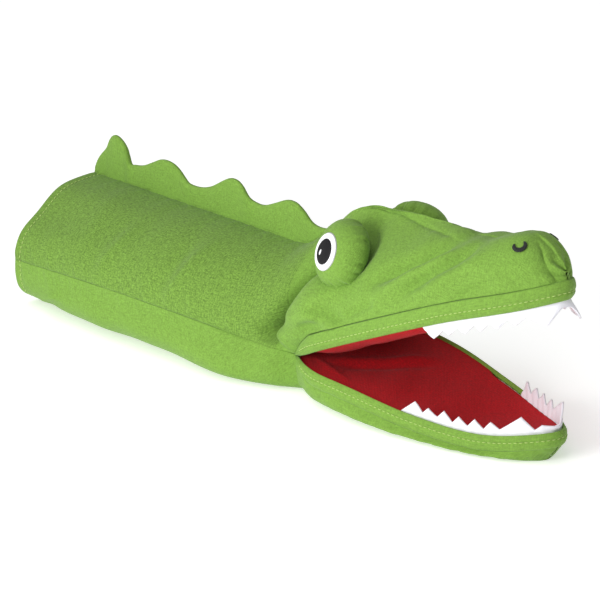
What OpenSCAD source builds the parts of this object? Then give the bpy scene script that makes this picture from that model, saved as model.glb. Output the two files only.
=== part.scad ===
// Crocodile hand puppet with a moving mouth. The hand goes in at the cuff,
// the fingers lift the upper jaw and the thumb works the lower jaw.
// Frame: +X towards the snout, +Z up, origin under the middle of the puppet on the floor.

/* [Sleeve] */
// Length from the cuff to the corners of the mouth
sleeve_l = 235; // [220:1:250]
// Width of the sleeve at the cuff
cuff_w = 134; // [126:1:140]
// Height of the back seam above the floor
sleeve_h = 75; // [72:1:78]
// Height of the side seams above the floor
seam_h = 30; // [28:1:32]
// Thickness of a cloth panel with its turned edges
cloth_t = 2; // [1.6:0.1:2.4]

/* [Crest] */
// Height of the crest between its lobes
crest_h = 14; // [12:1:16]
// Thickness of each side of the crest
crest_side_t = 1.2; // [1:0.1:1.6]
// Thickness of the wadding in the crest
crest_fill_t = 1.6; // [1:0.1:2]

/* [Mouth] */
// Length from the corners of the mouth to the tip of the upper lip
head_l = 173; // [168:1:178]
// Length from the corners of the mouth to the tip of the lower lip
jaw_l = 169; // [164:1:172]
// Width of the mouth at its widest
mouth_w = 99; // [94:1:104]
// Height of the hinge line through the corners of the mouth
hinge_h = 24; // [23:1:25]
// Height of the upper lip band
upper_band_h = 10; // [8:1:11]
// Height of the lower lip band
lower_band_h = 8; // [7:1:9]

/* [Teeth] */
// Distance from one tooth to the next along the jaw
tooth_pitch = 9; // [8:0.5:9]
// Height of a small tooth
tooth_h = 9; // [7:0.5:9.5]
// Height of a fang
fang_h = 12; // [10:0.5:13]

/* [Eyes] */
// Radius of a stuffed eye
eye_r = 20; // [18:0.5:21]
// Depth of an eye outside its widest circle
eye_depth = 14; // [12:0.5:15]
// Radius of the white disc
white_r = 11.8; // [10:0.2:12]
// Radius of the pupil
pupil_r = 8; // [6:0.2:9]

/* [Hidden] */
$fn = 48;

green = "#8fc253";
shade_green = "#7fae4d";
red = "#9d1f26";
white = "#f3f1f7";
filling = "#e6e2d6";

// Distance from the origin to the corners of the mouth
mouth_x = (sleeve_l - head_l) / 2;

// Where the cloth is cut along the length, counted from the corners of the mouth
bend_rear = -92;
bend_front = -66;
bend_middle = (bend_rear + bend_front) / 2;
nape_rear = -42;
head_rear = -12;
belly_front = -10;
jaw_rear = 8;

gap = 0.4;
hem_w = 12;
hem_t = 1.4;
lining_t = 1.5;
board_t = 2;
felt_t = 1.2;
small_teeth = 6;
pocket_t = 1.2;
pad_gap = 1;
gusset_half_angle = 14;
lip_inset = 2 * gap + cloth_t + felt_t;
steps_long = 14;

// Side views, as points of position and height counted from the corners of the mouth
upper_lip_side = [[-20, 17], [0, hinge_h], [30, 38.5], [72, 57], [113, 74], [151, 87], [head_l, 95]];
lower_lip_side = [[0, hinge_h], [50, 20.5], [92, 15], [133, 12.5], [jaw_l, 18]];
head_top_side = [[nape_rear, sleeve_h], [-28, 77], [-12, 89], [12, 107], [40, 112], [80, 113], [119, 118],
                 [143, 125], [157, 121], [167, 115], [head_l, 109]];
// How sharply the head narrows towards its top: 1 is round, more is narrower
head_narrowing = [[nape_rear, 1], [-10, 1.6], [27, 3], [60, 2], [90, 1.4], [120, 1.05], [head_l, 0.9]];
// Tip of each lobe of the crest: position, height above the valleys, rear reach and front reach
crest_lobes = [[-213, 14, 19, 17], [-163, 9, 28, 22], [-99, 11, 34, 17], [-45, 9, 30, 20]];

// ---------- Curves ----------

// Slope of a list of points at its point i
function slope(p, i) =
    let (a = max(i - 1, 0), b = min(i + 1, len(p) - 1))
    (p[b][1] - p[a][1]) / (p[b][0] - p[a][0]);

// Height at x of a smooth curve through a list of points
function smooth(p, x) =
    let (last = len(p) - 2,
         found = [for (i = [0:last]) if (x <= p[i + 1][0] || i == last) i],
         i = found[0],
         d = p[i + 1][0] - p[i][0],
         s = min(max((x - p[i][0]) / d, 0), 1),
         h = s * s * (3 - 2 * s))
    p[i][1] * (1 - h) + p[i + 1][1] * h
    + d * s * (1 - s) * ((1 - s) * slope(p, i) - s * slope(p, i + 1));

// Half width of the mouth at x for a jaw of length l: pinched at the corners, round at the tip
function lip_w(x, l) =
    let (t = min(max(x / l, 0), 1))
    mouth_w / 2 * pow(1 - pow(t, 1.9), 0.54) - 11 * pow(max(0, 1 - t / 0.2), 2);

// Point of the plan of a jaw of length l at station x, d inside its edge
function lip_point(x, l, d) =
    let (step = 0.05, rise = (lip_w(x + step, l) - lip_w(x - step, l)) / (2 * step), q = sqrt(1 + rise * rise))
    [x + rise * d / q, max(lip_w(x, l) - d / q, 0.4)];

// Positions from a to the tip of a jaw of length l, closer together at the tip
function jaw_stations(a, l, n) = [for (i = [0:n]) min(l - (l - a) * pow(1 - i / n, 1.85), l - 0.1)];

// Share of the way along the sleeve
function along(x) = (x + sleeve_l) / sleeve_l;

// Half width of the sleeve at x
function sleeve_w(x) = cuff_w / 2 - 26 * pow(along(x), 3);

// Height of the side seams at x
function side_h(x) = seam_h + 4 * sin(180 * along(x)) - (seam_h - hinge_h) * pow(along(x), 4);

// Height of the back seam at x
function back_top(x) = x < nape_rear ? sleeve_h : smooth(head_top_side, x);

// Point of the back at x, a is 0 at the left side seam, 90 on the crest and 180 at the right side seam
function back_point(x, a, d = 0) =
    [x, (sleeve_w(x) - d) * cos(a), side_h(x) + (back_top(x) - d - side_h(x)) * sin(a)];

// Point of the belly at x, a is 0 at the right side seam and 180 at the left side seam, flat below
function belly_point(x, a, d = 0) =
    let (w = sleeve_w(x) - d, c = cos(a), k = pow(sin(a), 0.77) * 1.04)
    [x, -w * sign(c) * pow(abs(c), 0.77), max(d, side_h(x) * (1 - k) + d * k)];

// Point of the outside of the head at x, a is 0 at the left band seam and 180 at the right one
function head_point(x, a, d = 0) =
    let (base = smooth(upper_lip_side, x) + upper_band_h,
         w = x < 0 ? sleeve_w(x) : lip_w(x, head_l),
         c = cos(a),
         top = max(smooth(head_top_side, x) - d, base + 1))
    [x, max(w - d, 0.5) * sign(c) * pow(abs(c), smooth(head_narrowing, x)), base + (top - base) * sin(a)];

// Height of the outside of the head above the point x, y, less d
function head_z(x, y, d) =
    let (w = lip_w(x, head_l) - d, c = pow(min(abs(y) / w, 1), 1 / smooth(head_narrowing, x)),
         base = smooth(upper_lip_side, x) + upper_band_h)
    base + (smooth(head_top_side, x) - d - base) * sqrt(1 - c * c);

// Height of the palate and of the mouth floor at x and share s of the half width
function palate_z(x, s) = smooth(upper_lip_side, x) + 1.2 + 4 * (1 - s * s);
function floor_z(x, s) = smooth(lower_lip_side, x) - 1.2 - 3 * (1 - s * s);

// ---------- Surfaces ----------

// Two triangles across four corners
function two(a, b, c, d) = [[a, b, c], [a, c, d]];

// Closed solid between an outer and an inner grid of the same size.
// The outer grid faces outwards; with loop its last column joins its first.
module shell(outer, inner, loop = false) {
    rows = len(outer);
    cols = len(outer[0]);
    n = rows * cols;
    last = loop ? cols - 1 : cols - 2;
    function at(i, j) = i * cols + j % cols;
    polyhedron(
        points = concat([for (row = outer) each row], [for (row = inner) each row]),
        faces = concat(
            [for (i = [0:rows - 2], j = [0:last])
                each two(at(i, j), at(i, j + 1), at(i + 1, j + 1), at(i + 1, j))],
            [for (i = [0:rows - 2], j = [0:last])
                each two(n + at(i + 1, j), n + at(i + 1, j + 1), n + at(i, j + 1), n + at(i, j))],
            [for (j = [0:last])
                each two(at(0, j + 1), at(0, j), n + at(0, j), n + at(0, j + 1))],
            [for (j = [0:last])
                each two(at(rows - 1, j), at(rows - 1, j + 1), n + at(rows - 1, j + 1), n + at(rows - 1, j))],
            loop ? [] : [for (i = [0:rows - 2])
                each two(at(i, 0), at(i + 1, 0), n + at(i + 1, 0), n + at(i, 0))],
            loop ? [] : [for (i = [0:rows - 2])
                each two(at(i + 1, cols - 1), at(i, cols - 1), n + at(i, cols - 1), n + at(i + 1, cols - 1))]));
}

// Evenly spaced values from a to b
function span(a, b, n) = [for (i = [0:n]) a + (b - a) * i / n];

module from_mouth() { translate([mouth_x, 0, 0]) children(); }

// The same piece on the puppet's right side
module other_side() { mirror([0, 1, 0]) children(); }

// ---------- Sleeve ----------

// Left half of the back between two positions
module back_half(x0, x1, n, seam_angle = 0.6) {
    outer = [for (x = span(x0, x1, n)) [for (a = span(seam_angle, 90 - 0.4, 8)) back_point(x, a)]];
    inner = [for (x = span(x0, x1, n)) [for (a = span(seam_angle, 90 - 0.4, 8)) back_point(x, a, cloth_t)]];
    from_mouth() shell(outer, inner);
}

// Belly between two positions
module belly(x0, x1, n) {
    outer = [for (x = span(x0, x1, n)) [for (a = span(1, 179, 16)) belly_point(x, a)]];
    inner = [for (x = span(x0, x1, n)) [for (a = span(1, 179, 16)) belly_point(x, a, cloth_t)]];
    from_mouth() shell(outer, inner);
}

// Ring of cloth right round the sleeve between two positions, d inside its surface
module ring(x0, x1, n, d, t) {
    function around(x, d) = concat(
        [for (a = span(0, 180, 16)) back_point(x, a, d)],
        [for (a = span(12, 168, 13)) belly_point(x, a, d)]);
    from_mouth() shell([for (x = span(x0, x1, n)) around(x, d)], [for (x = span(x0, x1, n)) around(x, d + t)],
                       loop = true);
}

module back_panel_left() color(shade_green) back_half(-sleeve_l, bend_rear, 8);
module back_panel_right() color(shade_green) other_side() back_half(-sleeve_l, bend_rear, 8);
module belly_panel() color(green) belly(-sleeve_l, bend_rear, 8);
module cuff_hem() color(green) ring(-sleeve_l + gap, -sleeve_l + hem_w, 1, cloth_t + gap, hem_t);
module neck_bend_cloth() color(shade_green) ring(bend_rear + gap, bend_front - gap, 3, 0, cloth_t);
module neck_back_left() color(shade_green) back_half(bend_front, nape_rear, 2);
module neck_back_right() color(shade_green) other_side() back_half(bend_front, nape_rear, 2);
module neck_belly() color(green) belly(bend_front, belly_front, 4);
module throat_cloth() color(green) belly(belly_front + gap, jaw_rear - 2 * gap, 2);

// ---------- Crest ----------

// Height of the crest above the back seam at x
function crest_top(x) =
    let (bumps = [for (l = crest_lobes) let (s = (x - l[0]) / (x < l[0] ? l[2] : l[3]))
                  abs(s) < 1 ? l[1] * pow(cos(90 * s), 1.5) : 0])
    crest_h + max(bumps);

// Slice of the crest between two positions, from y0 outwards by t
module crest_slice(x0, x1, n, y0, t, trim) {
    function side(y) = [for (x = span(x0, x1, n)) [for (k = [0, 1])
        [x, y, sleeve_h + gap + k * max(crest_top(x) * min(1, (x - x0 + 3) / 18) - trim, 0.6)]]];
    from_mouth() shell(side(y0), side(y0 + t));
}

module crest_cloth_left() color(green)
    crest_slice(-sleeve_l + 2, bend_middle - 1, 36, crest_fill_t / 2 + 0.1, crest_side_t, 0);
module crest_cloth_right() color(green) other_side()
    crest_slice(-sleeve_l + 2, bend_middle - 1, 36, crest_fill_t / 2 + 0.1, crest_side_t, 0);
module crest_wadding() color(filling)
    crest_slice(-sleeve_l + 4, bend_middle - 2, 36, -crest_fill_t / 2, crest_fill_t, 2.5);
module front_crest() {
    t = crest_fill_t + 2 * crest_side_t;
    function side(y) = [for (x = span(bend_middle + 1, -36, 14)) [for (k = [0, 1])
        [x, y, back_top(x) + gap + k * crest_top(x)]]];
    color(green) from_mouth() shell(side(-t / 2), side(t / 2));
}

// ---------- Hinge of the mouth ----------

module throat_fold() color(red) from_mouth() translate([0, 0, hinge_h]) rotate([90, 0, 0]) {
    fold_l = 68;
    fold_r = 5;
    difference() {
        cylinder(h = fold_l, r = fold_r, center = true);
        cylinder(h = fold_l + 2, r = fold_r - lining_t, center = true);
        translate([fold_r + 1, 0, 0]) cube([2 * fold_r, 4 * fold_r, fold_l + 2], center = true);
    }
}

// Cloth of the nape between the neck and the head, over the back of the hinge
module nape_cloth() {
    stations = span(nape_rear + gap, head_rear - gap, 4);
    function row(x, d) = [for (a = span(1, 179, 16)) back_point(x, a, d)];
    color(green) from_mouth() shell([for (x = stations) row(x, 0)], [for (x = stations) row(x, cloth_t)]);
}

// ---------- Upper jaw ----------

// Panel of the head between two angles
module head_panel(a0, a1, n) {
    stations = concat(span(head_rear, 0, 2), [for (i = [1:1:2]) i * jaw_rear / 2],
                      [for (x = jaw_stations(jaw_rear, head_l - 1, steps_long)) if (x > jaw_rear) x]);
    // Behind the corners of the mouth the panel starts higher, clear of the hinge
    function low(x) = x < jaw_rear ? max(a0, 16) : a0;
    function high(x) = x < jaw_rear ? min(a1, 164) : a1;
    outer = [for (x = stations) [for (a = span(low(x), high(x), n)) head_point(x, a)]];
    inner = [for (x = stations) [for (a = span(low(x), high(x), n)) head_point(x, a, cloth_t)]];
    from_mouth() shell(outer, inner);
}

module head_side_left() color(green) head_panel(1, 90 - gusset_half_angle - 0.4, 8);
module head_side_right() color(green) other_side() head_panel(1, 90 - gusset_half_angle - 0.4, 8);
module head_top_gusset() color(green) head_panel(90 - gusset_half_angle, 90 + gusset_half_angle, 3);

// Places round a lip from the left corner over the tip to the right corner: position and share of width
function round_lip(l, n) = concat(
    [for (x = jaw_stations(jaw_rear, l, n)) [x, 1]],
    [for (i = [n - 1:-1:0]) [jaw_stations(jaw_rear, l, n)[i], -1]]);

// Band of cloth round a lip, h high from its edge (upwards when h is positive)
module lip_band(l, side_points, h) {
    bulge = 1.2;
    function rim(k, d) = [for (p = round_lip(l, steps_long))
        let (e = lip_point(p[0], l, d - bulge * sin(180 * k)))
        [e[0], p[1] * e[1], smooth(side_points, p[0]) + h * k]];
    function band(d) = [for (k = h > 0 ? [0, 0.5, 1] : [1, 0.5, 0]) rim(k, d)];
    from_mouth() shell(band(cloth_t), band(0));
}

module upper_lip_band() color(green) lip_band(head_l, upper_lip_side, upper_band_h - gap);

// Sheet across the mouth between two heights, given as functions of position and share of the width
module mouth_sheet(l, x0, x1, inset, low, high, n = steps_long) {
    edge = [for (x = jaw_stations(x0, x1, n)) lip_point(x, l, inset)];
    function face(f) = [for (e = edge) [for (s = span(-1, 1, 8)) [e[0], s * e[1], f(e[0], s * e[1] / lip_w(e[0], l))]]];
    from_mouth() shell(face(high), face(low));
}

module palate_lining() color(red)
    mouth_sheet(head_l, jaw_rear, head_l, lip_inset,
                function(x, s) palate_z(x, s), function(x, s) palate_z(x, s) + lining_t);
module upper_mouth_board() color("#4c4844")
    mouth_sheet(head_l, jaw_rear + 4, head_l - 12, lip_inset + 4,
                function(x, s) palate_z(x, s) + lining_t + gap,
                function(x, s) palate_z(x, s) + lining_t + gap + board_t);

// Centre, half width and half height of the finger pocket at x
pocket_front = 106;
function pocket_z(x) = smooth([[jaw_rear, 54], [40, 72], [80, 88], [pocket_front, 97]], x);
function pocket_w(x) = smooth([[jaw_rear, 27], [60, 26], [90, 19], [pocket_front, 3]], x);
function pocket_h(x) = smooth([[jaw_rear, 16], [60, 14], [90, 9], [pocket_front, 1.6]], x);

module finger_pocket() {
    function around(x, d) = [for (i = [0:19])
        [x, (pocket_w(x) - d) * cos(18 * i), pocket_z(x) + (pocket_h(x) - d) * sin(18 * i)]];
    stations = span(jaw_rear, pocket_front, 10);
    color(filling) from_mouth() shell([for (x = stations) around(x, 0)], [for (x = stations) around(x, pocket_t)], loop = true);
}

// Padding between the board and the finger pocket
module upper_jaw_pad() {
    low = function(x, s) palate_z(x, s) + lining_t + 2 * gap + board_t;
    high = function(x, s) let (c = min(abs(s) * lip_w(x, head_l) / pocket_w(x), 0.98))
        max(pocket_z(x) - pocket_h(x) * sqrt(1 - c * c) - pad_gap - 0.6, low(x, s) + 1);
    half = 20;
    function face(f) = [for (x = span(jaw_rear + 6, 92, 8)) [for (y = span(-half, half, 8))
        [x, y, f(x, y / lip_w(x, head_l))]]];
    color(filling) from_mouth() shell(face(high), face(low));
}

// Stuffing in the snout, from the board up to the cloth
module snout_stuffing() {
    inset = lip_inset + 6;
    low = function(x, s) palate_z(x, s) + lining_t + 3 * gap + board_t;
    high = function(x, s) max(head_z(x, s * lip_w(x, head_l), cloth_t + pad_gap + 1), low(x, s) + 1);
    color(filling) mouth_sheet(head_l, pocket_front + 6, head_l - 14, inset, low, high, 8);
}

// Padding over the finger pocket
module crown_padding() {
    half = 12;
    low = function(x, y) let (c = min(abs(y) / pocket_w(x), 0.98))
        pocket_z(x) + pocket_h(x) * sqrt(1 - c * c) + pad_gap;
    high = function(x, y) max(head_z(x, y, cloth_t + pad_gap + 1), low(x, y) + 1);
    function face(f) = [for (x = span(jaw_rear + 6, 84, 8)) [for (s = span(-1, 1, 6)) [x, s * half, f(x, s * half)]]];
    color(filling) from_mouth() shell(face(high), face(low));
}

// Strip of felt teeth inside a lip: dir is -1 for teeth that point down and 1 for teeth that point up.
// It starts at the position first, has small teeth with valleys between, and ends with the points in front.
module teeth(l, side_points, first, tip, valley, front, dir) {
    root = 3.5;
    outline = concat([[first, 0]],
                     [for (i = [1:small_teeth]) each [[first + i * tooth_pitch, tip],
                                                      [first + (i + 0.55) * tooth_pitch, valley]]],
                     front);
    n = len(outline);
    track = concat([for (p = outline) [p[0], 1, p[1]]], [for (i = [n - 1:-1:0]) [outline[i][0], -1, outline[i][1]]]);
    function line(d, up) = [for (p = track)
        let (e = lip_point(p[0], l, d))
        [e[0], p[1] * e[1], smooth(side_points, p[0]) + (up ? dir * p[2] : -dir * root)]];
    function strip(d) = [for (up = dir > 0 ? [true, false] : [false, true]) line(d, up)];
    from_mouth() shell(strip(cloth_t + gap), strip(cloth_t + gap + felt_t));
}

module upper_teeth() color(white)
    teeth(head_l, upper_lip_side, 98, tooth_h, 5.5, [[168, fang_h], [172.4, 5]], -1);

// ---------- Eyes and nostrils ----------

eye_x = 27;
eye_y = 29.5;
eye_z = 93;
eye_turn = 110;
eye_tilt = 68;
eye_back = 4;

// Outline of an eye turned about its axis, d inside its surface
function eye_outline(d) = concat(
    [for (a = [-90:15:-15]) [(eye_r - d) * pow(cos(a), 0.7), (eye_back - d) * sin(a)]],
    [for (a = [0:10:90]) [(eye_r - d) * pow(cos(a), 0.8), (eye_depth - d) * sin(a)]]);

// Outline of the part of an eye's face within radius r, between two heights above the cloth
function face_outline(r, low, high) =
    let (a0 = acos(pow(r / eye_r, 1 / 0.8)), steps = span(a0, 90, 6))
    concat([for (a = steps) [eye_r * pow(cos(a), 0.8), eye_depth * sin(a) + high]],
           [for (i = [6:-1:0]) [eye_r * pow(cos(steps[i]), 0.8), eye_depth * sin(steps[i]) + low]]);

module at_left_eye() translate([mouth_x + eye_x, eye_y, eye_z]) rotate([0, eye_tilt, eye_turn]) children();

module eye_cover() at_left_eye() rotate_extrude() difference() {
    polygon(eye_outline(0));
    polygon(eye_outline(cloth_t / 2));
}
module eye_stuffing() at_left_eye() rotate_extrude() polygon(eye_outline(cloth_t / 2 + 0.2));
module eye_white() at_left_eye() rotate_extrude() polygon(face_outline(white_r, 0.1, 1));
module pupil() at_left_eye() rotate_extrude() polygon(face_outline(pupil_r, 1.1, 1.9));

module eye_cover_left() color(green) eye_cover();
module eye_cover_right() color(green) other_side() eye_cover();
module eye_stuffing_left() color(filling) eye_stuffing();
module eye_stuffing_right() color(filling) other_side() eye_stuffing();
module eye_white_left() color(white) eye_white();
module eye_white_right() color(white) other_side() eye_white();
module pupil_left() color("#1d1b1f") pupil();
module pupil_right() color("#1d1b1f") other_side() pupil();

// Sewn curl of thread on the snout
module nostril() {
    spot_x = 147;
    spot_y = 9;
    curl_r = 3.6;
    thread_r = 0.9;
    translate([mouth_x + spot_x, spot_y, head_z(spot_x, spot_y, 0) + thread_r + 1])
        rotate([-24, 4, -60]) rotate_extrude(angle = 210) translate([curl_r, 0]) circle(r = thread_r, $fn = 16);
}
module nostril_left() color("#2c322b") nostril();
module nostril_right() color("#2c322b") other_side() nostril();

// ---------- Lower jaw ----------

module lower_lip_band() color(green) lip_band(jaw_l, lower_lip_side, -lower_band_h + gap);

// Cloth under the lower jaw, from one band seam under the jaw to the other
module chin_panel() {
    stations = [for (x = jaw_stations(jaw_rear, jaw_l, steps_long)) x];
    function point(x, a, d) =
        let (w = max(lip_w(x, jaw_l) - d, 0.6), c = cos(a), k = pow(sin(a), 0.6) * 1.05,
             base = smooth(lower_lip_side, x) - lower_band_h)
        [x - (x > jaw_rear + 1 ? d * pow(x / jaw_l, 8) : 0), -w * sign(c) * pow(abs(c), 0.6),
         max(d, base * (1 - k) + d * k)];
    outer = [for (x = stations) [for (a = span(1, 179, 14)) point(x, a, 0)]];
    inner = [for (x = stations) [for (a = span(1, 179, 14)) point(x, a, cloth_t)]];
    color(green) from_mouth() shell(outer, inner);
}

module floor_lining() color(red)
    mouth_sheet(jaw_l, jaw_rear, jaw_l, lip_inset,
                function(x, s) floor_z(x, s) - lining_t, function(x, s) floor_z(x, s));
board_top = function(x, s) floor_z(x, s) - lining_t - gap;
board_low = function(x, s) floor_z(x, s) - lining_t - gap - 1.4;
module lower_mouth_board() color("#4c4844")
    mouth_sheet(jaw_l, jaw_rear + 4, jaw_l - 12, lip_inset + 4, board_low, board_top);

thumb_front = 74;
function thumb_w(x) = smooth([[jaw_rear, 19], [50, 18], [66, 12], [thumb_front, 3]], x);
module thumb_pocket() {
    function low(x) = cloth_t + gap;
    function high(x) = board_low(x, 0) - pad_gap - 0.4;
    function shrink(x) = smooth([[jaw_rear, 1], [56, 1], [thumb_front, 0.4]], x);
    function around(x, d) = let (mid = (low(x) + high(x)) / 2, h = (high(x) - low(x)) / 2 * shrink(x))
        [for (i = [0:19]) [x, (thumb_w(x) - d) * cos(18 * i), mid + (h - d) * sin(18 * i)]];
    stations = span(jaw_rear, thumb_front, 8);
    color(filling) from_mouth() shell([for (x = stations) around(x, 0)], [for (x = stations) around(x, 0.9)], loop = true);
}

// Padding in the front of the lower jaw
module lower_jaw_pad() {
    inset = lip_inset + 7;
    low = function(x, s) cloth_t + pad_gap;
    high = function(x, s) max(board_low(x, s) - gap, low(x, s) + 0.6);
    color(filling) mouth_sheet(jaw_l, thumb_front + 3, jaw_l - 18, inset, low, high, 8);
}

module lower_teeth() color(white)
    teeth(jaw_l, lower_lip_side, 86, tooth_h - 1, 3.5, [[155.5, fang_h - 1.5], [161.5, 2.5], [164.5, 5], [168.4, 3]], 1);

// ---------- Nodes ----------

back_panel_left();
back_panel_right();
belly_panel();
cuff_hem();
crest_cloth_left();
crest_cloth_right();
crest_wadding();
neck_bend_cloth();
neck_back_left();
neck_back_right();
neck_belly();
throat_fold();
front_crest();
nape_cloth();
throat_cloth();
head_side_left();
head_side_right();
head_top_gusset();
upper_lip_band();
palate_lining();
upper_mouth_board();
upper_jaw_pad();
finger_pocket();
snout_stuffing();
crown_padding();
upper_teeth();
eye_cover_left();
eye_cover_right();
eye_stuffing_left();
eye_stuffing_right();
eye_white_left();
eye_white_right();
pupil_left();
pupil_right();
nostril_left();
nostril_right();
chin_panel();
lower_lip_band();
floor_lining();
lower_mouth_board();
lower_jaw_pad();
thumb_pocket();
lower_teeth();
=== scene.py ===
"""A crocodile hand puppet in green cotton: sleeve with a crest, stuffed head, red mouth, felt teeth.

Lengths are worked out in millimetres, counted along X from the corners of the mouth, and
put into the meshes in metres in the frame's own place.
"""
import logging
import math
from collections.abc import Sequence
from dataclasses import dataclass
from enum import Enum

import bpy
import numpy as np
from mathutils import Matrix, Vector


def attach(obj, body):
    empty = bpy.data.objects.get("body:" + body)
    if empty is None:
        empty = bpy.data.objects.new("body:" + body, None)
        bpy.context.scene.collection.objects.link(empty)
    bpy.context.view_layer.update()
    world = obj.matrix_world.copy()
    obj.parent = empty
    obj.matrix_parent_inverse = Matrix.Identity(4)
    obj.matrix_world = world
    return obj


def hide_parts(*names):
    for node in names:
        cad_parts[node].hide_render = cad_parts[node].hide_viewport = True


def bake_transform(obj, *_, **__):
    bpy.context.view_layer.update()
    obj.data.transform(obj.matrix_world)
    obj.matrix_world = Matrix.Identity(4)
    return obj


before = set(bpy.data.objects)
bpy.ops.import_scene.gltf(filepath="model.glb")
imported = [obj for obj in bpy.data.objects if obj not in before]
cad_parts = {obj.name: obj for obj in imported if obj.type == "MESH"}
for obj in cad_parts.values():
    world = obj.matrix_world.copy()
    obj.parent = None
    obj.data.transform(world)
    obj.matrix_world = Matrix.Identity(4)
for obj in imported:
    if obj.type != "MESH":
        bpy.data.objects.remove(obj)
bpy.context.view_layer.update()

LOG = logging.getLogger("puppet")
Colour = tuple[float, float, float]
MM_IN_M = 1000.0
MOUTH_X = 31.0
SNOUT_SWAY = 2.0
EYE_SOCKET = (29.0, 26.0, 89.5)
HEM_WIDTH, HEM_FOLD = 12.0, 0.9
ALLOWANCE = 2.0
SEAM_ROLL = 0.35
FILL_FRAMES = 20
LIP_STATIONS = 150
STITCH_PITCH, STITCH_LENGTH, STITCH_RADIUS = 3.0, 2.1, 0.25
TOOTH_PITCH = 9.0
TOOTH_WOBBLE = (0.2, -0.5, 0.6, -0.2, 0.4, -0.3)


class Body(Enum):
    """The parts of the puppet that move against each other."""

    SLEEVE = "sleeve"
    NECK = "neck"
    UPPER = "upper_jaw"
    LOWER = "lower_jaw"


class Slot(Enum):
    """Material slots that the pieces made here use."""

    # back_cotton is the green cotton made darker: painted shade for the back of the sleeve.
    BACK = "back_cotton"
    GREEN = "green_cotton"
    RED = "red_cotton"
    FELT = "white_felt"
    BLACK = "black_cloth"
    THREAD = "black_thread"


# ---------------------------------------------------------------- curves


def smooth(points: Sequence[Sequence[float]], x: np.ndarray) -> np.ndarray:
    """Height at x of a smooth curve through points.

    It is a cubic between neighbours, with the slope of the chord across each point.

    Args:
        points: Positions and heights, in order of position.
        x: Positions, of any shape.

    Returns:
        Heights, of the shape of x.
    """
    p = np.asarray(points, float)
    x = np.asarray(x, float)
    before = np.r_[0, np.arange(len(p) - 1)]
    after = np.r_[np.arange(1, len(p)), len(p) - 1]
    slope = (p[after, 1] - p[before, 1]) / (p[after, 0] - p[before, 0])
    i = np.clip(np.searchsorted(p[:, 0], x) - 1, 0, len(p) - 2)
    d = p[i + 1, 0] - p[i, 0]
    s = np.clip((x - p[i, 0]) / d, 0, 1)
    h = s * s * (3 - 2 * s)
    return p[i, 1] * (1 - h) + p[i + 1, 1] * h + d * s * (1 - s) * ((1 - s) * slope[i] - s * slope[i + 1])


def ease(x: np.ndarray, low: float, high: float) -> np.ndarray:
    """A smooth step from 0 at low to 1 at high, the other way round where high is below low."""
    t = np.clip((np.asarray(x, float) - low) / (high - low), 0, 1)
    return t * t * (3 - 2 * t)


def dome(x: np.ndarray, centre: float, reach: float) -> np.ndarray:
    """A soft bump of height 1 at the centre that is small one reach away."""
    return np.exp(-(((np.asarray(x, float) - centre) / reach) ** 2))


def ripple(x: np.ndarray, y: np.ndarray, pitch: float, seed: float) -> np.ndarray:
    """Uneven waves between -1 and 1: three sines of unlike lengths, with phases from the seed."""
    k = 2 * math.pi / pitch
    return (
        np.sin(k * (x + 0.4 * y) + seed)
        + 0.7 * np.sin(k * (0.62 * x - 0.83 * y) + 2.3 * seed)
        + 0.5 * np.sin(k * (1.71 * x + 1.13 * y) + 4.1 * seed)
    ) / 2.2


def crease(x: np.ndarray, z: np.ndarray, start: Sequence[float], end: Sequence[float],
           width: float) -> np.ndarray:
    """A soft fold line between two points: 1 on the line, falling off across it and towards its ends.

    Args:
        x: Positions along the puppet.
        z: Heights.
        start: Position and height of one end.
        end: Position and height of the other end.
        width: Distance at which the fold is small.

    Returns:
        The strength of the fold, from 0 to 1.
    """
    ax, az = start
    dx, dz = end[0] - ax, end[1] - az
    length = math.hypot(dx, dz)
    t = ((x - ax) * dx + (z - az) * dz) / length**2
    across = ((x - ax) * dz - (z - az) * dx) / length
    ends = ease(t, -0.15, 0.25) * ease(t, 1.15, 0.75)
    return np.exp(-((across / width) ** 2)) * ends


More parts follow.
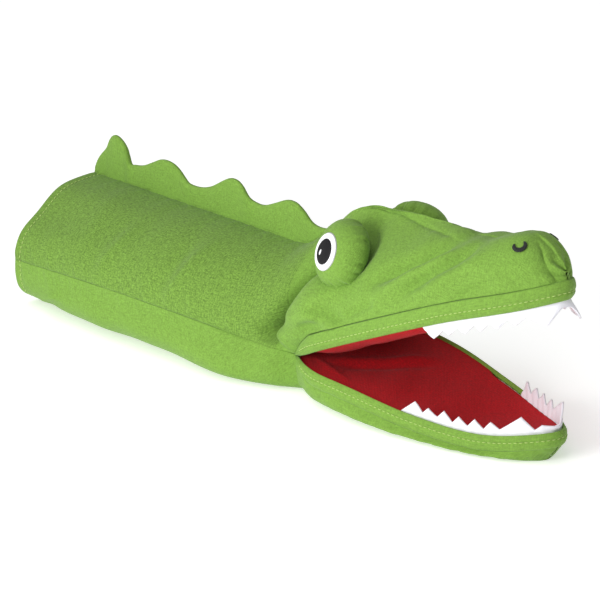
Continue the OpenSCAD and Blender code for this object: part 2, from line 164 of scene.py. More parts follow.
@dataclass(frozen=True)
class Cut:
    """Sizes and curves that the panels share, in millimetres."""

    sleeve_l: float = 235.0
    cuff_w: float = 134.0
    sleeve_h: float = 75.0
    seam_h: float = 30.0
    head_l: float = 171.0
    jaw_l: float = 169.0
    mouth_w: float = 99.0
    hinge_h: float = 24.0
    upper_band_h: float = 10.0
    lower_band_h: float = 8.0
    bend_rear: float = -92.0
    bend_front: float = -66.0
    neck_cut: float = -54.0
    nape_rear: float = -42.0
    head_rear: float = -12.0
    belly_cut: float = -30.0
    upper_lip: tuple = ((-20, 17), (0, 24), (30, 38.5), (72, 57), (113, 74), (151, 87), (173, 95))
    lower_lip: tuple = ((0, 24), (50, 20.5), (92, 15), (133, 12.5), (169, 18))
    head_top: tuple = (
        (-42, 75), (-28, 77), (-12, 89), (12, 107), (40, 112), (80, 113), (119, 118),
        (143, 125), (157, 120), (167, 113), (173, 107),
    )
    narrowing: tuple = ((-42, 1), (-10, 1.6), (27, 3), (60, 2), (90, 1.4), (120, 1.05), (173, 0.9))
    crest: tuple = (
        (-235, 75), (-234, 80), (-231, 86), (-222.5, 95), (-219.5, 100.5), (-214.5, 104),
        (-208.5, 103), (-203, 98), (-199.5, 89), (-195, 88.5), (-185, 90.5), (-177, 94),
        (-167, 98), (-156, 97.5), (-146, 91), (-141, 88.3),
        (-129, 88.5), (-119, 91.5), (-104, 99.5), (-97, 100.3), (-91, 98), (-85, 92), (-79, 90), (-71, 90.3),
        (-61, 94), (-51, 98), (-43, 98.3), (-37, 95), (-30, 89.5), (-24, 88), (-14, 89),
    )

    def lip_w(self, x: np.ndarray, length: float) -> np.ndarray:
        """Half width of the mouth at x: pinched at the corners, round at the tip."""
        t = np.clip(np.asarray(x, float) / length, 0, 1)
        return self.mouth_w / 2 * (1 - t**1.9) ** 0.57 - 11 * np.maximum(0, 1 - t / 0.2) ** 2

    def lip_edge(self, x: np.ndarray, length: float,
                 inset: float | np.ndarray) -> tuple[np.ndarray, np.ndarray]:
        """Plan of a lip moved inwards along its own normal.

        Args:
            x: Positions on the lip.
            length: Length of the jaw.
            inset: How far inside the lip.

        Returns:
            Positions and half widths of the moved line.
        """
        x = np.asarray(x, float)
        step = 0.05
        rise = (self.lip_w(x + step, length) - self.lip_w(x - step, length)) / (2 * step)
        q = np.sqrt(1 + rise**2)
        return x + rise * inset / q, np.maximum(self.lip_w(x, length) - inset / q, 0.15)

    def stations(self, start: float, length: float, count: int) -> np.ndarray:
        """Positions from start to the tip of a jaw, closer together at the tip."""
        i = np.linspace(0, 1, count)
        return np.minimum(length - (length - start) * (1 - i) ** 1.85, length - 0.02)

    def along(self, x: np.ndarray) -> np.ndarray:
        """Share of the way along the sleeve."""
        return np.clip((x + self.sleeve_l) / self.sleeve_l, 0, 1)

    def sleeve_w(self, x: np.ndarray) -> np.ndarray:
        """Half width of the sleeve at x."""
        return self.cuff_w / 2 - 26 * self.along(x) ** 3

    def side_h(self, x: np.ndarray) -> np.ndarray:
        """Height of the side seams at x."""
        t = self.along(x)
        return self.seam_h + 4 * np.sin(math.pi * t) - (self.seam_h - self.hinge_h) * t**4

    def back_top(self, x: np.ndarray) -> np.ndarray:
        """Height of the back seam at x."""
        return np.where(x < self.nape_rear, self.sleeve_h, smooth(self.head_top, x))


CUT = Cut()


# ---------------------------------------------------------------- meshes


def normals_of(points: np.ndarray) -> np.ndarray:
    """Unit normals of a grid of points: the cross product of its two directions."""
    n = np.cross(np.gradient(points, axis=0), np.gradient(points, axis=1))
    return n / np.maximum(np.linalg.norm(n, axis=2, keepdims=True), 1e-9)


def arc(points: np.ndarray, axis: int) -> np.ndarray:
    """Distance travelled along one direction of a grid of points, from its first row or column."""
    step = np.linalg.norm(np.diff(points, axis=axis), axis=-1)
    pad = [(0, 0)] * step.ndim
    pad[axis] = (1, 0)
    return np.pad(np.cumsum(step, axis=axis), pad)


@dataclass
class Piece:
    """One mesh that is being made.

    Attributes:
        name: Name of the object.
        slot: Material slot that its finish belongs to.
        obj: The object, once it is made.
    """

    name: str
    slot: Slot
    obj: bpy.types.Object | None = None

    def grid(self, points: np.ndarray, uv: np.ndarray, seam: np.ndarray | None = None,
             flip: bool = False) -> "Piece":
        """Makes the mesh from a grid: four neighbours are one face.

        Args:
            points: Rows by columns by 3, in millimetres from the corners of the mouth.
            uv: Rows by columns by 2, in millimetres on the cloth.
            seam: Rows by columns, 1 on a seam and 0 away from it.
            flip: Turns the faces round.

        Returns:
            This piece.
        """
        rows, cols = points.shape[:2]
        at = np.arange(rows * cols).reshape(rows, cols)
        quads = np.stack([at[:-1, :-1], at[1:, :-1], at[1:, 1:], at[:-1, 1:]], axis=-1).reshape(-1, 4)
        if flip:
            quads = quads[:, ::-1]
        self.faces(points.reshape(-1, 3), quads, uv.reshape(-1, 2), None if seam is None else seam.ravel())
        return self

    def faces(self, points: np.ndarray, faces: np.ndarray, uv: np.ndarray,
              seam: np.ndarray | None = None) -> "Piece":
        """Makes the mesh from points and faces of four corners.

        The snout sways a little to the right, and nothing goes below the floor.

        Args:
            points: Count by 3, in millimetres from the corners of the mouth.
            faces: Count by 4, numbers of points.
            uv: Count by 2, a place on the cloth for each point, in millimetres.
            seam: One value a point, 1 on a seam.

        Returns:
            This piece.
        """
        mesh = bpy.data.meshes.new(self.name)
        shift = np.zeros_like(points)
        shift[:, 0] = MOUTH_X
        shift[:, 1] = -SNOUT_SWAY * ease(points[:, 0], 105, 172)
        placed = (points + shift) / MM_IN_M
        placed[:, 2] = np.maximum(placed[:, 2], 0.0)
        mesh.from_pydata(placed.tolist(), [], faces.tolist())
        layer = mesh.uv_layers.new(name="cloth")
        layer.data.foreach_set("uv", (uv[faces.ravel()] / MM_IN_M).astype(np.float32).ravel())
        # The seam attribute drives the cotton's painted shade in seam grooves and its paler rubbed wear.
        attribute = mesh.attributes.new("seam", "FLOAT", "POINT")
        values = np.zeros(len(points), np.float32) if seam is None else seam.astype(np.float32)
        attribute.data.foreach_set("value", values)
        mesh.shade_smooth()
        mesh.update()
        self.obj = bpy.data.objects.new(self.name, mesh)
        bpy.context.scene.collection.objects.link(self.obj)
        return self

    def thicken(self, thickness: float, rim: bool = False) -> "Piece":
        """Gives the sheet a second side, inwards by a thickness in millimetres, and a rim if asked."""
        solid = self.obj.modifiers.new("cloth", "SOLIDIFY")
        solid.thickness = thickness / MM_IN_M
        solid.offset = -1.0
        solid.use_rim = rim
        return self

    def fill(self, held: np.ndarray, reach: float, pressure: float = 4.0) -> "Piece":
        """Settles the piece in a cloth simulation, held at its seams, and smooths it with a subdivision.

        The padded look is in the grid already, and the simulation moves it very little.

        Args:
            held: One value a point, over a half where the cloth is sewn down.
            reach: The most that the cloth may move, in millimetres.
            pressure: Pressure of the filling.

        Returns:
            This piece.
        """
        scene, mesh = bpy.context.scene, self.obj.data
        group = self.obj.vertex_groups.new(name="held")
        group.add(np.flatnonzero(held.ravel() > 0.5).tolist(), 1.0, "REPLACE")
        cloth = self.obj.modifiers.new("filling", "CLOTH")
        settings = cloth.settings
        settings.quality = 5
        settings.mass = 0.004
        settings.tension_stiffness = 18.0
        settings.compression_stiffness = 18.0
        settings.shear_stiffness = 6.0
        settings.bending_stiffness = 0.6
        settings.use_pressure = True
        settings.uniform_pressure_force = pressure
        settings.vertex_group_mass = group.name
        settings.effector_weights.gravity = 0.0
        cloth.point_cache.frame_start, cloth.point_cache.frame_end = 1, FILL_FRAMES
        for number in range(1, FILL_FRAMES + 1):
            scene.frame_set(number)
        start, end = (np.empty(len(mesh.vertices) * 3, np.float32) for _ in range(2))
        mesh.vertices.foreach_get("co", start)
        settled = self.obj.evaluated_get(bpy.context.evaluated_depsgraph_get())
        settled.data.vertices.foreach_get("co", end)
        move = (end - start).reshape(-1, 3)
        far = np.linalg.norm(move, axis=1, keepdims=True)
        cap = reach / MM_IN_M
        move *= cap * np.tanh(far / cap) / np.maximum(far, 1e-9)
        self.obj.modifiers.remove(cloth)
        self.obj.vertex_groups.clear()
        scene.frame_set(1)
        mesh.vertices.foreach_set("co", start + move.ravel())
        mesh.update()
        fine = self.obj.modifiers.new("fine", "SUBSURF")
        fine.levels = fine.render_levels = 1
        LOG.info("%s: moved %.2f mm at most and %.2f mm on average", self.name,
                 far.max() * MM_IN_M, far.mean() * MM_IN_M)
        return self

    def sheet(self, flat: tuple[float, float], share: float, held: str,
              rests_on: Sequence[str] = ()) -> "Piece":
        """Args:
            flat: Width and length of the cut before it is sewn, in millimetres.
            share: Area of the cut as a share of width times length.
            held: How it is held. Not used.
            rests_on: Names of what it is sewn to. Not used.

        Returns:
            This piece.
        """
        width, length = flat[0] / 1000, flat[1] / 1000
        width * length * share if share < 1 else None
        return self

    def finish(self, material: bpy.types.Material, body: Body, *nodes: str) -> "Piece":
        """Gives the piece its finish and puts it on one body.

        Args:
            material: The finish.
            body: The body that it moves with.
            nodes: CAD nodes that it stands for.

        Returns:
            This piece.
        """
        self._dress(material, nodes)
        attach(self.obj, body.value)
        return self

    def bend(self, material: bpy.types.Material, a: Body, b: Body, start: float, end: float,
             *nodes: str) -> "Piece":
        """Gives the piece its finish and bakes its transform into its mesh; it is put on no body and does not bend.

        Args:
            material: The finish.
            a: The body meant for the part before start. Not used.
            b: The body meant for the part after end. Not used.
            start: Position where the bend starts, from the corners of the mouth. Not used.
            end: Position where the bend ends. Not used.
            nodes: CAD nodes that it stands for.

        Returns:
            This piece.
        """
        self._dress(material, nodes)
        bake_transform(self.obj, a.value, b.value, ((start + MOUTH_X) / 1000, 0, 0), ((end + MOUTH_X) / 1000, 0, 0))
        return self

    def _dress(self, material: bpy.types.Material, nodes: Sequence[str]) -> None:
        """Gives the material and the CAD nodes that the piece replaces, and reports it."""
        self.obj.data.materials.append(material)
        if nodes:
            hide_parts(*nodes)
        LOG.info("%s: %d faces", self.name, len(self.obj.data.polygons))


def cloth_uv(points: np.ndarray, middle: bool = True) -> np.ndarray:
    """A place on the cloth for each point: distance along the middle column, and distance across each row.

    Args:
        points: A grid of points.
        middle: Counts the rows from their middle, and else from their first column.

    Returns:
        Rows by columns by 2, in millimetres.
    """
    rows, cols = points.shape[:2]
    along = arc(points, 0)[:, cols // 2]
    across = arc(points, 1)
    if middle:
        across = across - across[:, cols // 2][:, None]
    return np.stack([np.repeat(along[:, None], cols, 1), across], axis=-1)


def tuck(points: np.ndarray, normals: np.ndarray, uv: np.ndarray, seam: np.ndarray,
         deep: float) -> tuple[np.ndarray, np.ndarray, np.ndarray]:
    """Adds the seam allowances to the long edges of a panel: two columns on each side, turned inwards.

    Args:
        points: A grid of points.
        normals: Outward normals of the grid.
        uv: Places on the cloth.
        seam: Seam values.
        deep: Depth of the allowance.

    Returns:
        The wider points, places on the cloth and seam values.
    """
    first = [points[:, :1] - normals[:, :1] * d for d in (deep, 0.45 * deep)]
    last = [points[:, -1:] - normals[:, -1:] * d for d in (0.45 * deep, deep)]
    uv, seam = (np.concatenate([v[:, :1], v[:, :1], v, v[:, -1:], v[:, -1:]], axis=1) for v in (uv, seam))
    return np.concatenate([*first, points, *last], axis=1), uv, seam


def stitch_row(name: str, slot: Slot, path: np.ndarray, out: np.ndarray, pitch: float, length: float,
               thick: float) -> Piece:
    """A row of machine stitches: short threads that dip into the cloth at both ends.

    Each stitch is a tube round a short straight line. Its radius is a half circle of its length, and its
    middle stands up from the cloth.

    Args:
        name: Name of the object.
        slot: Its material slot.
        path: Points along the row.
        out: Outward normals at those points.
        pitch: Distance from stitch to stitch.
        length: Length of a stitch.
        thick: Radius of the thread.

    Returns:
        The piece.
    """
    far = arc(path, 0)
    count = max(int(far[-1] / pitch), 1)
    middles = (np.arange(count) + 0.5) * far[-1] / count

    def at(values: np.ndarray, s: np.ndarray) -> np.ndarray:
        """Values at distances along the row."""
        return np.stack([np.interp(s, far, values[:, k]) for k in range(3)], axis=-1)

    centre, normal = at(path, middles), at(out, middles)
    ahead = at(path, middles + length / 2) - at(path, middles - length / 2)
    ahead /= np.maximum(np.linalg.norm(ahead, axis=1, keepdims=True), 1e-9)
    normal -= ahead * np.sum(ahead * normal, axis=1, keepdims=True)
    normal /= np.maximum(np.linalg.norm(normal, axis=1, keepdims=True), 1e-9)
    side = np.cross(ahead, normal)
    t = np.array([-1.0, -0.72, -0.25, 0.25, 0.72, 1.0])
    turn = np.arange(6) * math.pi / 3
    radius = thick * np.sqrt(1.02 - t**2)
    lift = thick * (0.75 - 1.5 * t**4)
    rings = (
        centre[:, None, None]
        + ahead[:, None, None] * (t * length / 2)[None, :, None, None]
        + normal[:, None, None] * (lift[:, None] + radius[:, None] * np.sin(turn))[None, :, :, None]
        + side[:, None, None] * (radius[:, None] * np.cos(turn))[None, :, :, None]
    )
    at_point = np.arange(count * 36).reshape(count, 6, 6)
    turned = np.roll(at_point, -1, axis=2)
    corners = [at_point[:, :-1], at_point[:, 1:], turned[:, 1:], turned[:, :-1]]
    quads = np.stack(corners, axis=-1).reshape(-1, 4)
    caps = np.concatenate([at_point[:, 0, [0, 1, 2, 3]], at_point[:, 0, [3, 4, 5, 0]],
                           at_point[:, -1, [3, 2, 1, 0]], at_point[:, -1, [0, 5, 4, 3]]])
    uv = np.stack(np.broadcast_arrays(middles[:, None, None] + (t * length / 2)[None, :, None],
                                      (turn * thick)[None, None, :]), axis=-1).reshape(-1, 2)
    return Piece(name, slot).faces(rings.reshape(-1, 3), np.concatenate([quads, caps]), uv)


# ---------------------------------------------------------------- finishes


class Wire:
    """A shader socket that can be used in a Python expression, which adds its Math nodes."""

    def __init__(self, shader: "Shader", socket: bpy.types.NodeSocket) -> None:
        """Keeps the shader that the socket belongs to."""
        self.shader = shader
        self.socket = socket

    def __add__(self, other: "Wire | float") -> "Wire":
        """This plus other."""
        return self.shader.math("ADD", self, other)

    def __radd__(self, other: float) -> "Wire":
        """Other plus this."""
        return self.shader.math("ADD", other, self)

    def __sub__(self, other: "Wire | float") -> "Wire":
        """This less other."""
        return self.shader.math("SUBTRACT", self, other)

    def __rsub__(self, other: float) -> "Wire":
        """Other less this."""
        return self.shader.math("SUBTRACT", other, self)

    def __mul__(self, other: "Wire | float") -> "Wire":
        """This times other."""
        return self.shader.math("MULTIPLY", self, other)

    def __rmul__(self, other: float) -> "Wire":
        """Other times this."""
        return self.shader.math("MULTIPLY", other, self)

    def __pow__(self, other: float) -> "Wire":
        """This to the power of other."""
        return self.shader.math("POWER", self, other)


class Shader:
    """A material that is built node by node."""

    def __init__(self, name: str) -> None:
        """Makes an empty material with an output and a Principled shader."""
        self.material = bpy.data.materials.new(name)
        self.material.use_nodes = True
        self.tree = self.material.node_tree
        self.tree.nodes.clear()
        self.base = self.node("ShaderNodeBsdfPrincipled")
        self.node("ShaderNodeOutputMaterial", {}, {"Surface": self.base.outputs["BSDF"]})

    def node(self, kind: str, settings: dict | None = None, inputs: dict | None = None) -> bpy.types.Node:
        """Adds a node.

        Args:
            kind: Type of the node.
            settings: Its own settings, and "stops" for the stops of a ramp. They are set first.
            inputs: Values or links of its sockets, by name or number.

        Returns:
            The node.
        """
        made = self.tree.nodes.new(kind)
        for key, value in (settings or {}).items():
            if key == "stops":
                ramp = made.color_ramp
                while len(ramp.elements) < len(value):
                    ramp.elements.new(0.5)
                for element, (place, colour) in zip(ramp.elements, value):
                    element.position = place
                    element.color = (*colour, 1.0)
            else:
                setattr(made, key, value)
        for key, value in (inputs or {}).items():
            self.join(made.inputs[key], value)
        return made

    def join(self, socket: bpy.types.NodeSocket, value: object) -> None:
        """Links a wire or a socket to an input, or sets its value."""
        if isinstance(value, Wire):
            self.tree.links.new(value.socket, socket)
        elif isinstance(value, bpy.types.NodeSocket):
            self.tree.links.new(value, socket)
        elif isinstance(value, tuple) and len(value) == 3 and socket.type == "RGBA":
            socket.default_value = (*value, 1.0)
        else:
            socket.default_value = value

    def wire(self, kind: str, output: str, settings: dict | None = None, inputs: dict | None = None) -> Wire:
        """Adds a node and returns one of its outputs as a wire."""
        return Wire(self, self.node(kind, settings, inputs).outputs[output])

    def math(self, operation: str, a: Wire | float, b: Wire | float = 0.0) -> Wire:
        """Adds a Math node."""
        return self.wire("ShaderNodeMath", "Value", {"operation": operation}, {0: a, 1: b})

    def mix(self, share: Wire | float, a: object, b: object, how: str = "MIX") -> Wire:
        """Mixes two colours by a share, or by another way of mixing."""
        made = self.node("ShaderNodeMix", {"data_type": "RGBA", "blend_type": how})
        self.join(made.inputs[0], share)
        self.join(made.inputs[6], a)
        self.join(made.inputs[7], b)
        return Wire(self, made.outputs[2])

    def scaled(self, vector: Wire, size: Sequence[float]) -> Wire:
        """A vector times a size in each direction."""
        return self.wire("ShaderNodeVectorMath", "Vector", {"operation": "MULTIPLY"},
                         {0: vector, 1: tuple(size)})

    def noise(self, vector: Wire, scale: float, detail: float = 3.0, rough: float = 0.55) -> Wire:
        """Noise between 0 and 1 with a middle of about a half."""
        return self.wire("ShaderNodeTexNoise", "Fac", {"noise_dimensions": "3D"},
                         {"Vector": vector, "Scale": scale, "Detail": detail, "Roughness": rough})

    def bump(self, height: Wire, distance: float, strength: float = 1.0, below: Wire | None = None) -> Wire:
        """A Bump node whose height is one distance for a value of 1."""
        inputs = {"Height": height, "Distance": distance, "Strength": strength}
        if below is not None:
            inputs["Normal"] = below
        return self.wire("ShaderNodeBump", "Normal", {}, inputs)

    def set(self, **values: object) -> "Shader":
        """Sets sockets of the Principled shader; an underscore in a name stands for a space."""
        for key, value in values.items():
            self.join(self.base.inputs[key.replace("_", " ")], value)
        return self


def linear(colour: Colour) -> Colour:
    """A colour of 0 to 255 as light."""
    return tuple(c / 255 / 12.92 if c / 255 < 0.04045 else ((c / 255 + 0.055) / 1.055) ** 2.4 for c in colour)


def times(colour: Colour, k: float) -> Colour:
    """A colour made lighter or darker."""
    return tuple(c * k for c in colour)


@dataclass(frozen=True)
class Cotton:
    """Plain-woven cotton with slubs in its yarn.

    Attributes:
        name: Name of the finish.
        tone: Colour of the cloth, 0 to 255.
        yarn: Distance from one yarn to the next, in millimetres.
        slub: How much single yarns differ in colour.
        depth: Height of the weave, in millimetres.
        nap: Strength of the soft sheen.
    """

    name: str
    tone: Colour
    yarn: float = 0.62
    slub: float = 0.2
    depth: float = 0.1
    nap: float = 0.1

    def make(self) -> bpy.types.Material:
        """Builds the material.

        The weave is the product of a wave along each direction. Noise that is stretched along each
        direction gives the slubs, and coarse noise gives the mottling. Where the seam value is over a
        half, shade is painted into the seam's groove; near a seam the cloth is also paler where it rubs.

        Returns:
            The material.
        """
        s = Shader(self.name)
        uv = s.wire("ShaderNodeUVMap", "UV", {"uv_map": "cloth"})
        parts = s.node("ShaderNodeSeparateXYZ", {}, {0: uv})
        k = 2 * math.pi / (2 * self.yarn / 1000)
        warp = s.math("SINE", Wire(s, parts.outputs[0]) * k)
        weft = s.math("SINE", Wire(s, parts.outputs[1]) * k)
        weave = warp * weft * 0.5 + 0.5
        along = s.noise(s.scaled(uv, (260, 1300, 1)), 1.0, 2.0)
        across = s.noise(s.scaled(uv, (1300, 260, 1)), 1.0, 2.0)
        fuzz = s.noise(uv, 900.0, 2.0)
        cloudy = s.noise(uv, 28.0, 3.0)
        yarns = along + across - 1.0
        value = 1.0 + yarns * self.slub * 4.0 + (fuzz - 0.5) * self.slub * 5.0 + (cloudy - 0.5) * 0.16
        tone = linear(self.tone)
        pale = s.mix(s.math("MINIMUM", s.math("MAXIMUM", value - 0.5, 0.0), 1.0),
                     times(tone, 0.62), times(tone, 1.42))
        shade = s.mix((1.0 - weave) * 0.28, pale, times(tone, 0.7))
        seam = s.wire("ShaderNodeAttribute", "Fac", {"attribute_name": "seam"})
        # Painted shade: where the seam value is over a half, the colour goes towards 35 % of the tone in the seam's
        # groove. The paler rubbing near seams is wear.
        groove = s.math("MAXIMUM", seam * 2.0 - 1.0, 0.0)
        rubbed = s.mix(s.math("MINIMUM", seam * 1.4, 1.0) * cloudy * 0.35, shade, times(tone, 1.3))
        groove_shaded = s.mix(groove * 0.5, rubbed, times(tone, 0.35))
        coarse = s.bump(cloudy * 0.4 + yarns * 0.5, 0.0006, 0.5)
        fine = s.bump(weave + fuzz * 0.7, self.depth / 1000, 0.9, coarse)
        s.set(Base_Color=groove_shaded, Roughness=0.86 + (fuzz - 0.5) * 0.12, Normal=fine)
        s.set(Sheen_Weight=self.nap, Sheen_Roughness=0.45, Specular_IOR_Level=0.22)
        return s.material


@dataclass(frozen=True)
class Felt:
    """Pressed felt: matted fibres with no weave."""

    name: str
    tone: Colour
    nap: float = 0.3
    relief: float = 0.12

    def make(self) -> bpy.types.Material:
        """Builds the material: two sizes of noise, the finer one stretched into fibres that lie both ways.

        Returns:
            The material.
        """
        s = Shader(self.name)
        uv = s.wire("ShaderNodeUVMap", "UV", {"uv_map": "cloth"})
        fibres = (s.noise(s.scaled(uv, (500, 2200, 1)), 1.0, 3.0)
                  + s.noise(s.scaled(uv, (2200, 600, 1)), 1.0, 3.0))
        mat = s.noise(uv, 240.0, 4.0)
        tone = linear(self.tone)
        colour = s.mix(fibres * 0.5, times(tone, 0.84), times(tone, 1.08))
        colour = s.mix(mat * 0.3, colour, times(tone, 0.9))
        s.set(Base_Color=colour, Roughness=0.94 + (mat - 0.5) * 0.1,
              Normal=s.bump(fibres + mat, self.relief / 1000, 0.8))
        s.set(Sheen_Weight=self.nap, Sheen_Roughness=0.6, Specular_IOR_Level=0.15)
        return s.material


@dataclass(frozen=True)
class Yarn:
    """Sewing thread, twisted along its length."""

    name: str
    tone: Colour
    gloss: float = 0.55

    def make(self) -> bpy.types.Material:
        """Builds the material: slanting waves across the thread for its twist, and noise for its fluff.

        Returns:
            The material.
        """
        s = Shader(self.name)
        uv = s.wire("ShaderNodeUVMap", "UV", {"uv_map": "cloth"})
        parts = s.node("ShaderNodeSeparateXYZ", {}, {0: uv})
        slant = Wire(s, parts.outputs[0]) * 9000.0 + Wire(s, parts.outputs[1]) * 5200.0
        twist = s.math("SINE", slant) * 0.5 + 0.5
        fluff = s.noise(uv, 1800.0, 2.0)
        tone = linear(self.tone)
        colour = s.mix(twist * 0.6 + fluff * 0.4, times(tone, 0.62), times(tone, 1.15))
        s.set(Base_Color=colour, Roughness=self.gloss + (fluff - 0.5) * 0.2,
              Normal=s.bump(twist, 0.00008, 0.8))
        s.set(Sheen_Weight=0.1, Specular_IOR_Level=0.35)
        return s.material


@dataclass(frozen=True)
class Satin:
    """Smooth woven cloth with a faint gloss, for the pupils."""

    name: str
    tone: Colour

    def make(self) -> bpy.types.Material:
        """Builds the material: fine ribs and a coarse cloud on Object coordinates.

        Returns:
            The material.
        """
        s = Shader(self.name)
        place = s.wire("ShaderNodeTexCoord", "Object")
        ribs = s.noise(s.scaled(place, (900, 900, 4200)), 1.0, 2.0)
        cloud = s.noise(place, 160.0, 2.0)
        tone = linear(self.tone)
        colour = s.mix(ribs * 0.6 + cloud * 0.4, times(tone, 0.55), times(tone, 1.6))
        s.set(Base_Color=colour, Roughness=0.6 + (ribs - 0.5) * 0.25, Normal=s.bump(ribs, 0.00006, 0.7))
        s.set(Specular_IOR_Level=0.25, Sheen_Weight=0.02)
        return s.material


@dataclass(frozen=True)
class Inner:
    """Cloth inside the puppet, on Object coordinates because the CAD meshes have no UV map."""

    name: str
    tone: Colour
    grain: float
    relief: float

    def make(self) -> bpy.types.Material:
        """Builds the material: noise at the size of the grain and a cloud ten times as large.

        Returns:
            The material.
        """
        s = Shader(self.name)
        place = s.wire("ShaderNodeTexCoord", "Object")
        grain = s.noise(place, 1000 / self.grain, 4.0)
        cloud = s.noise(place, 100 / self.grain, 3.0)
        tone = linear(self.tone)
        colour = s.mix(grain * 0.6 + cloud * 0.4, times(tone, 0.7), times(tone, 1.15))
        s.set(Base_Color=colour, Roughness=0.9 + (grain - 0.5) * 0.1,
              Normal=s.bump(grain + cloud, self.relief / 1000, 0.8))
        s.set(Sheen_Weight=0.15, Specular_IOR_Level=0.2)
        return s.material


GREEN = (115, 153, 61)


class Finishes:
    """Every finish of the puppet, made once."""

    def __init__(self) -> None:
        """Builds the materials."""
        # The back panels' cotton is the green cotton made 7 % darker: painted shade, because the back of the sleeve
        # gets less light than the head.
        self.back = Cotton("back_cotton", times(GREEN, 0.93), slub=0.36).make()
        self.green = Cotton("green_cotton", GREEN).make()
        self.red = Cotton("red_cotton", (184, 17, 27), slub=0.22, nap=0.04).make()
        self.felt = Felt("white_felt", (240, 239, 246)).make()
        self.eye = Felt("eye_felt", (246, 246, 248), nap=0.15, relief=0.05).make()
        self.black = Satin("black_cloth", (11, 10, 13)).make()
        self.black_thread = Yarn("black_thread", (16, 20, 16)).make()
        self.pale_thread = Yarn("seam_thread", (188, 214, 122)).make()
        self.lining = Inner("lining_cloth", (214, 209, 190), 0.8, 0.15).make()


# ---------------------------------------------------------------- the outer cloth


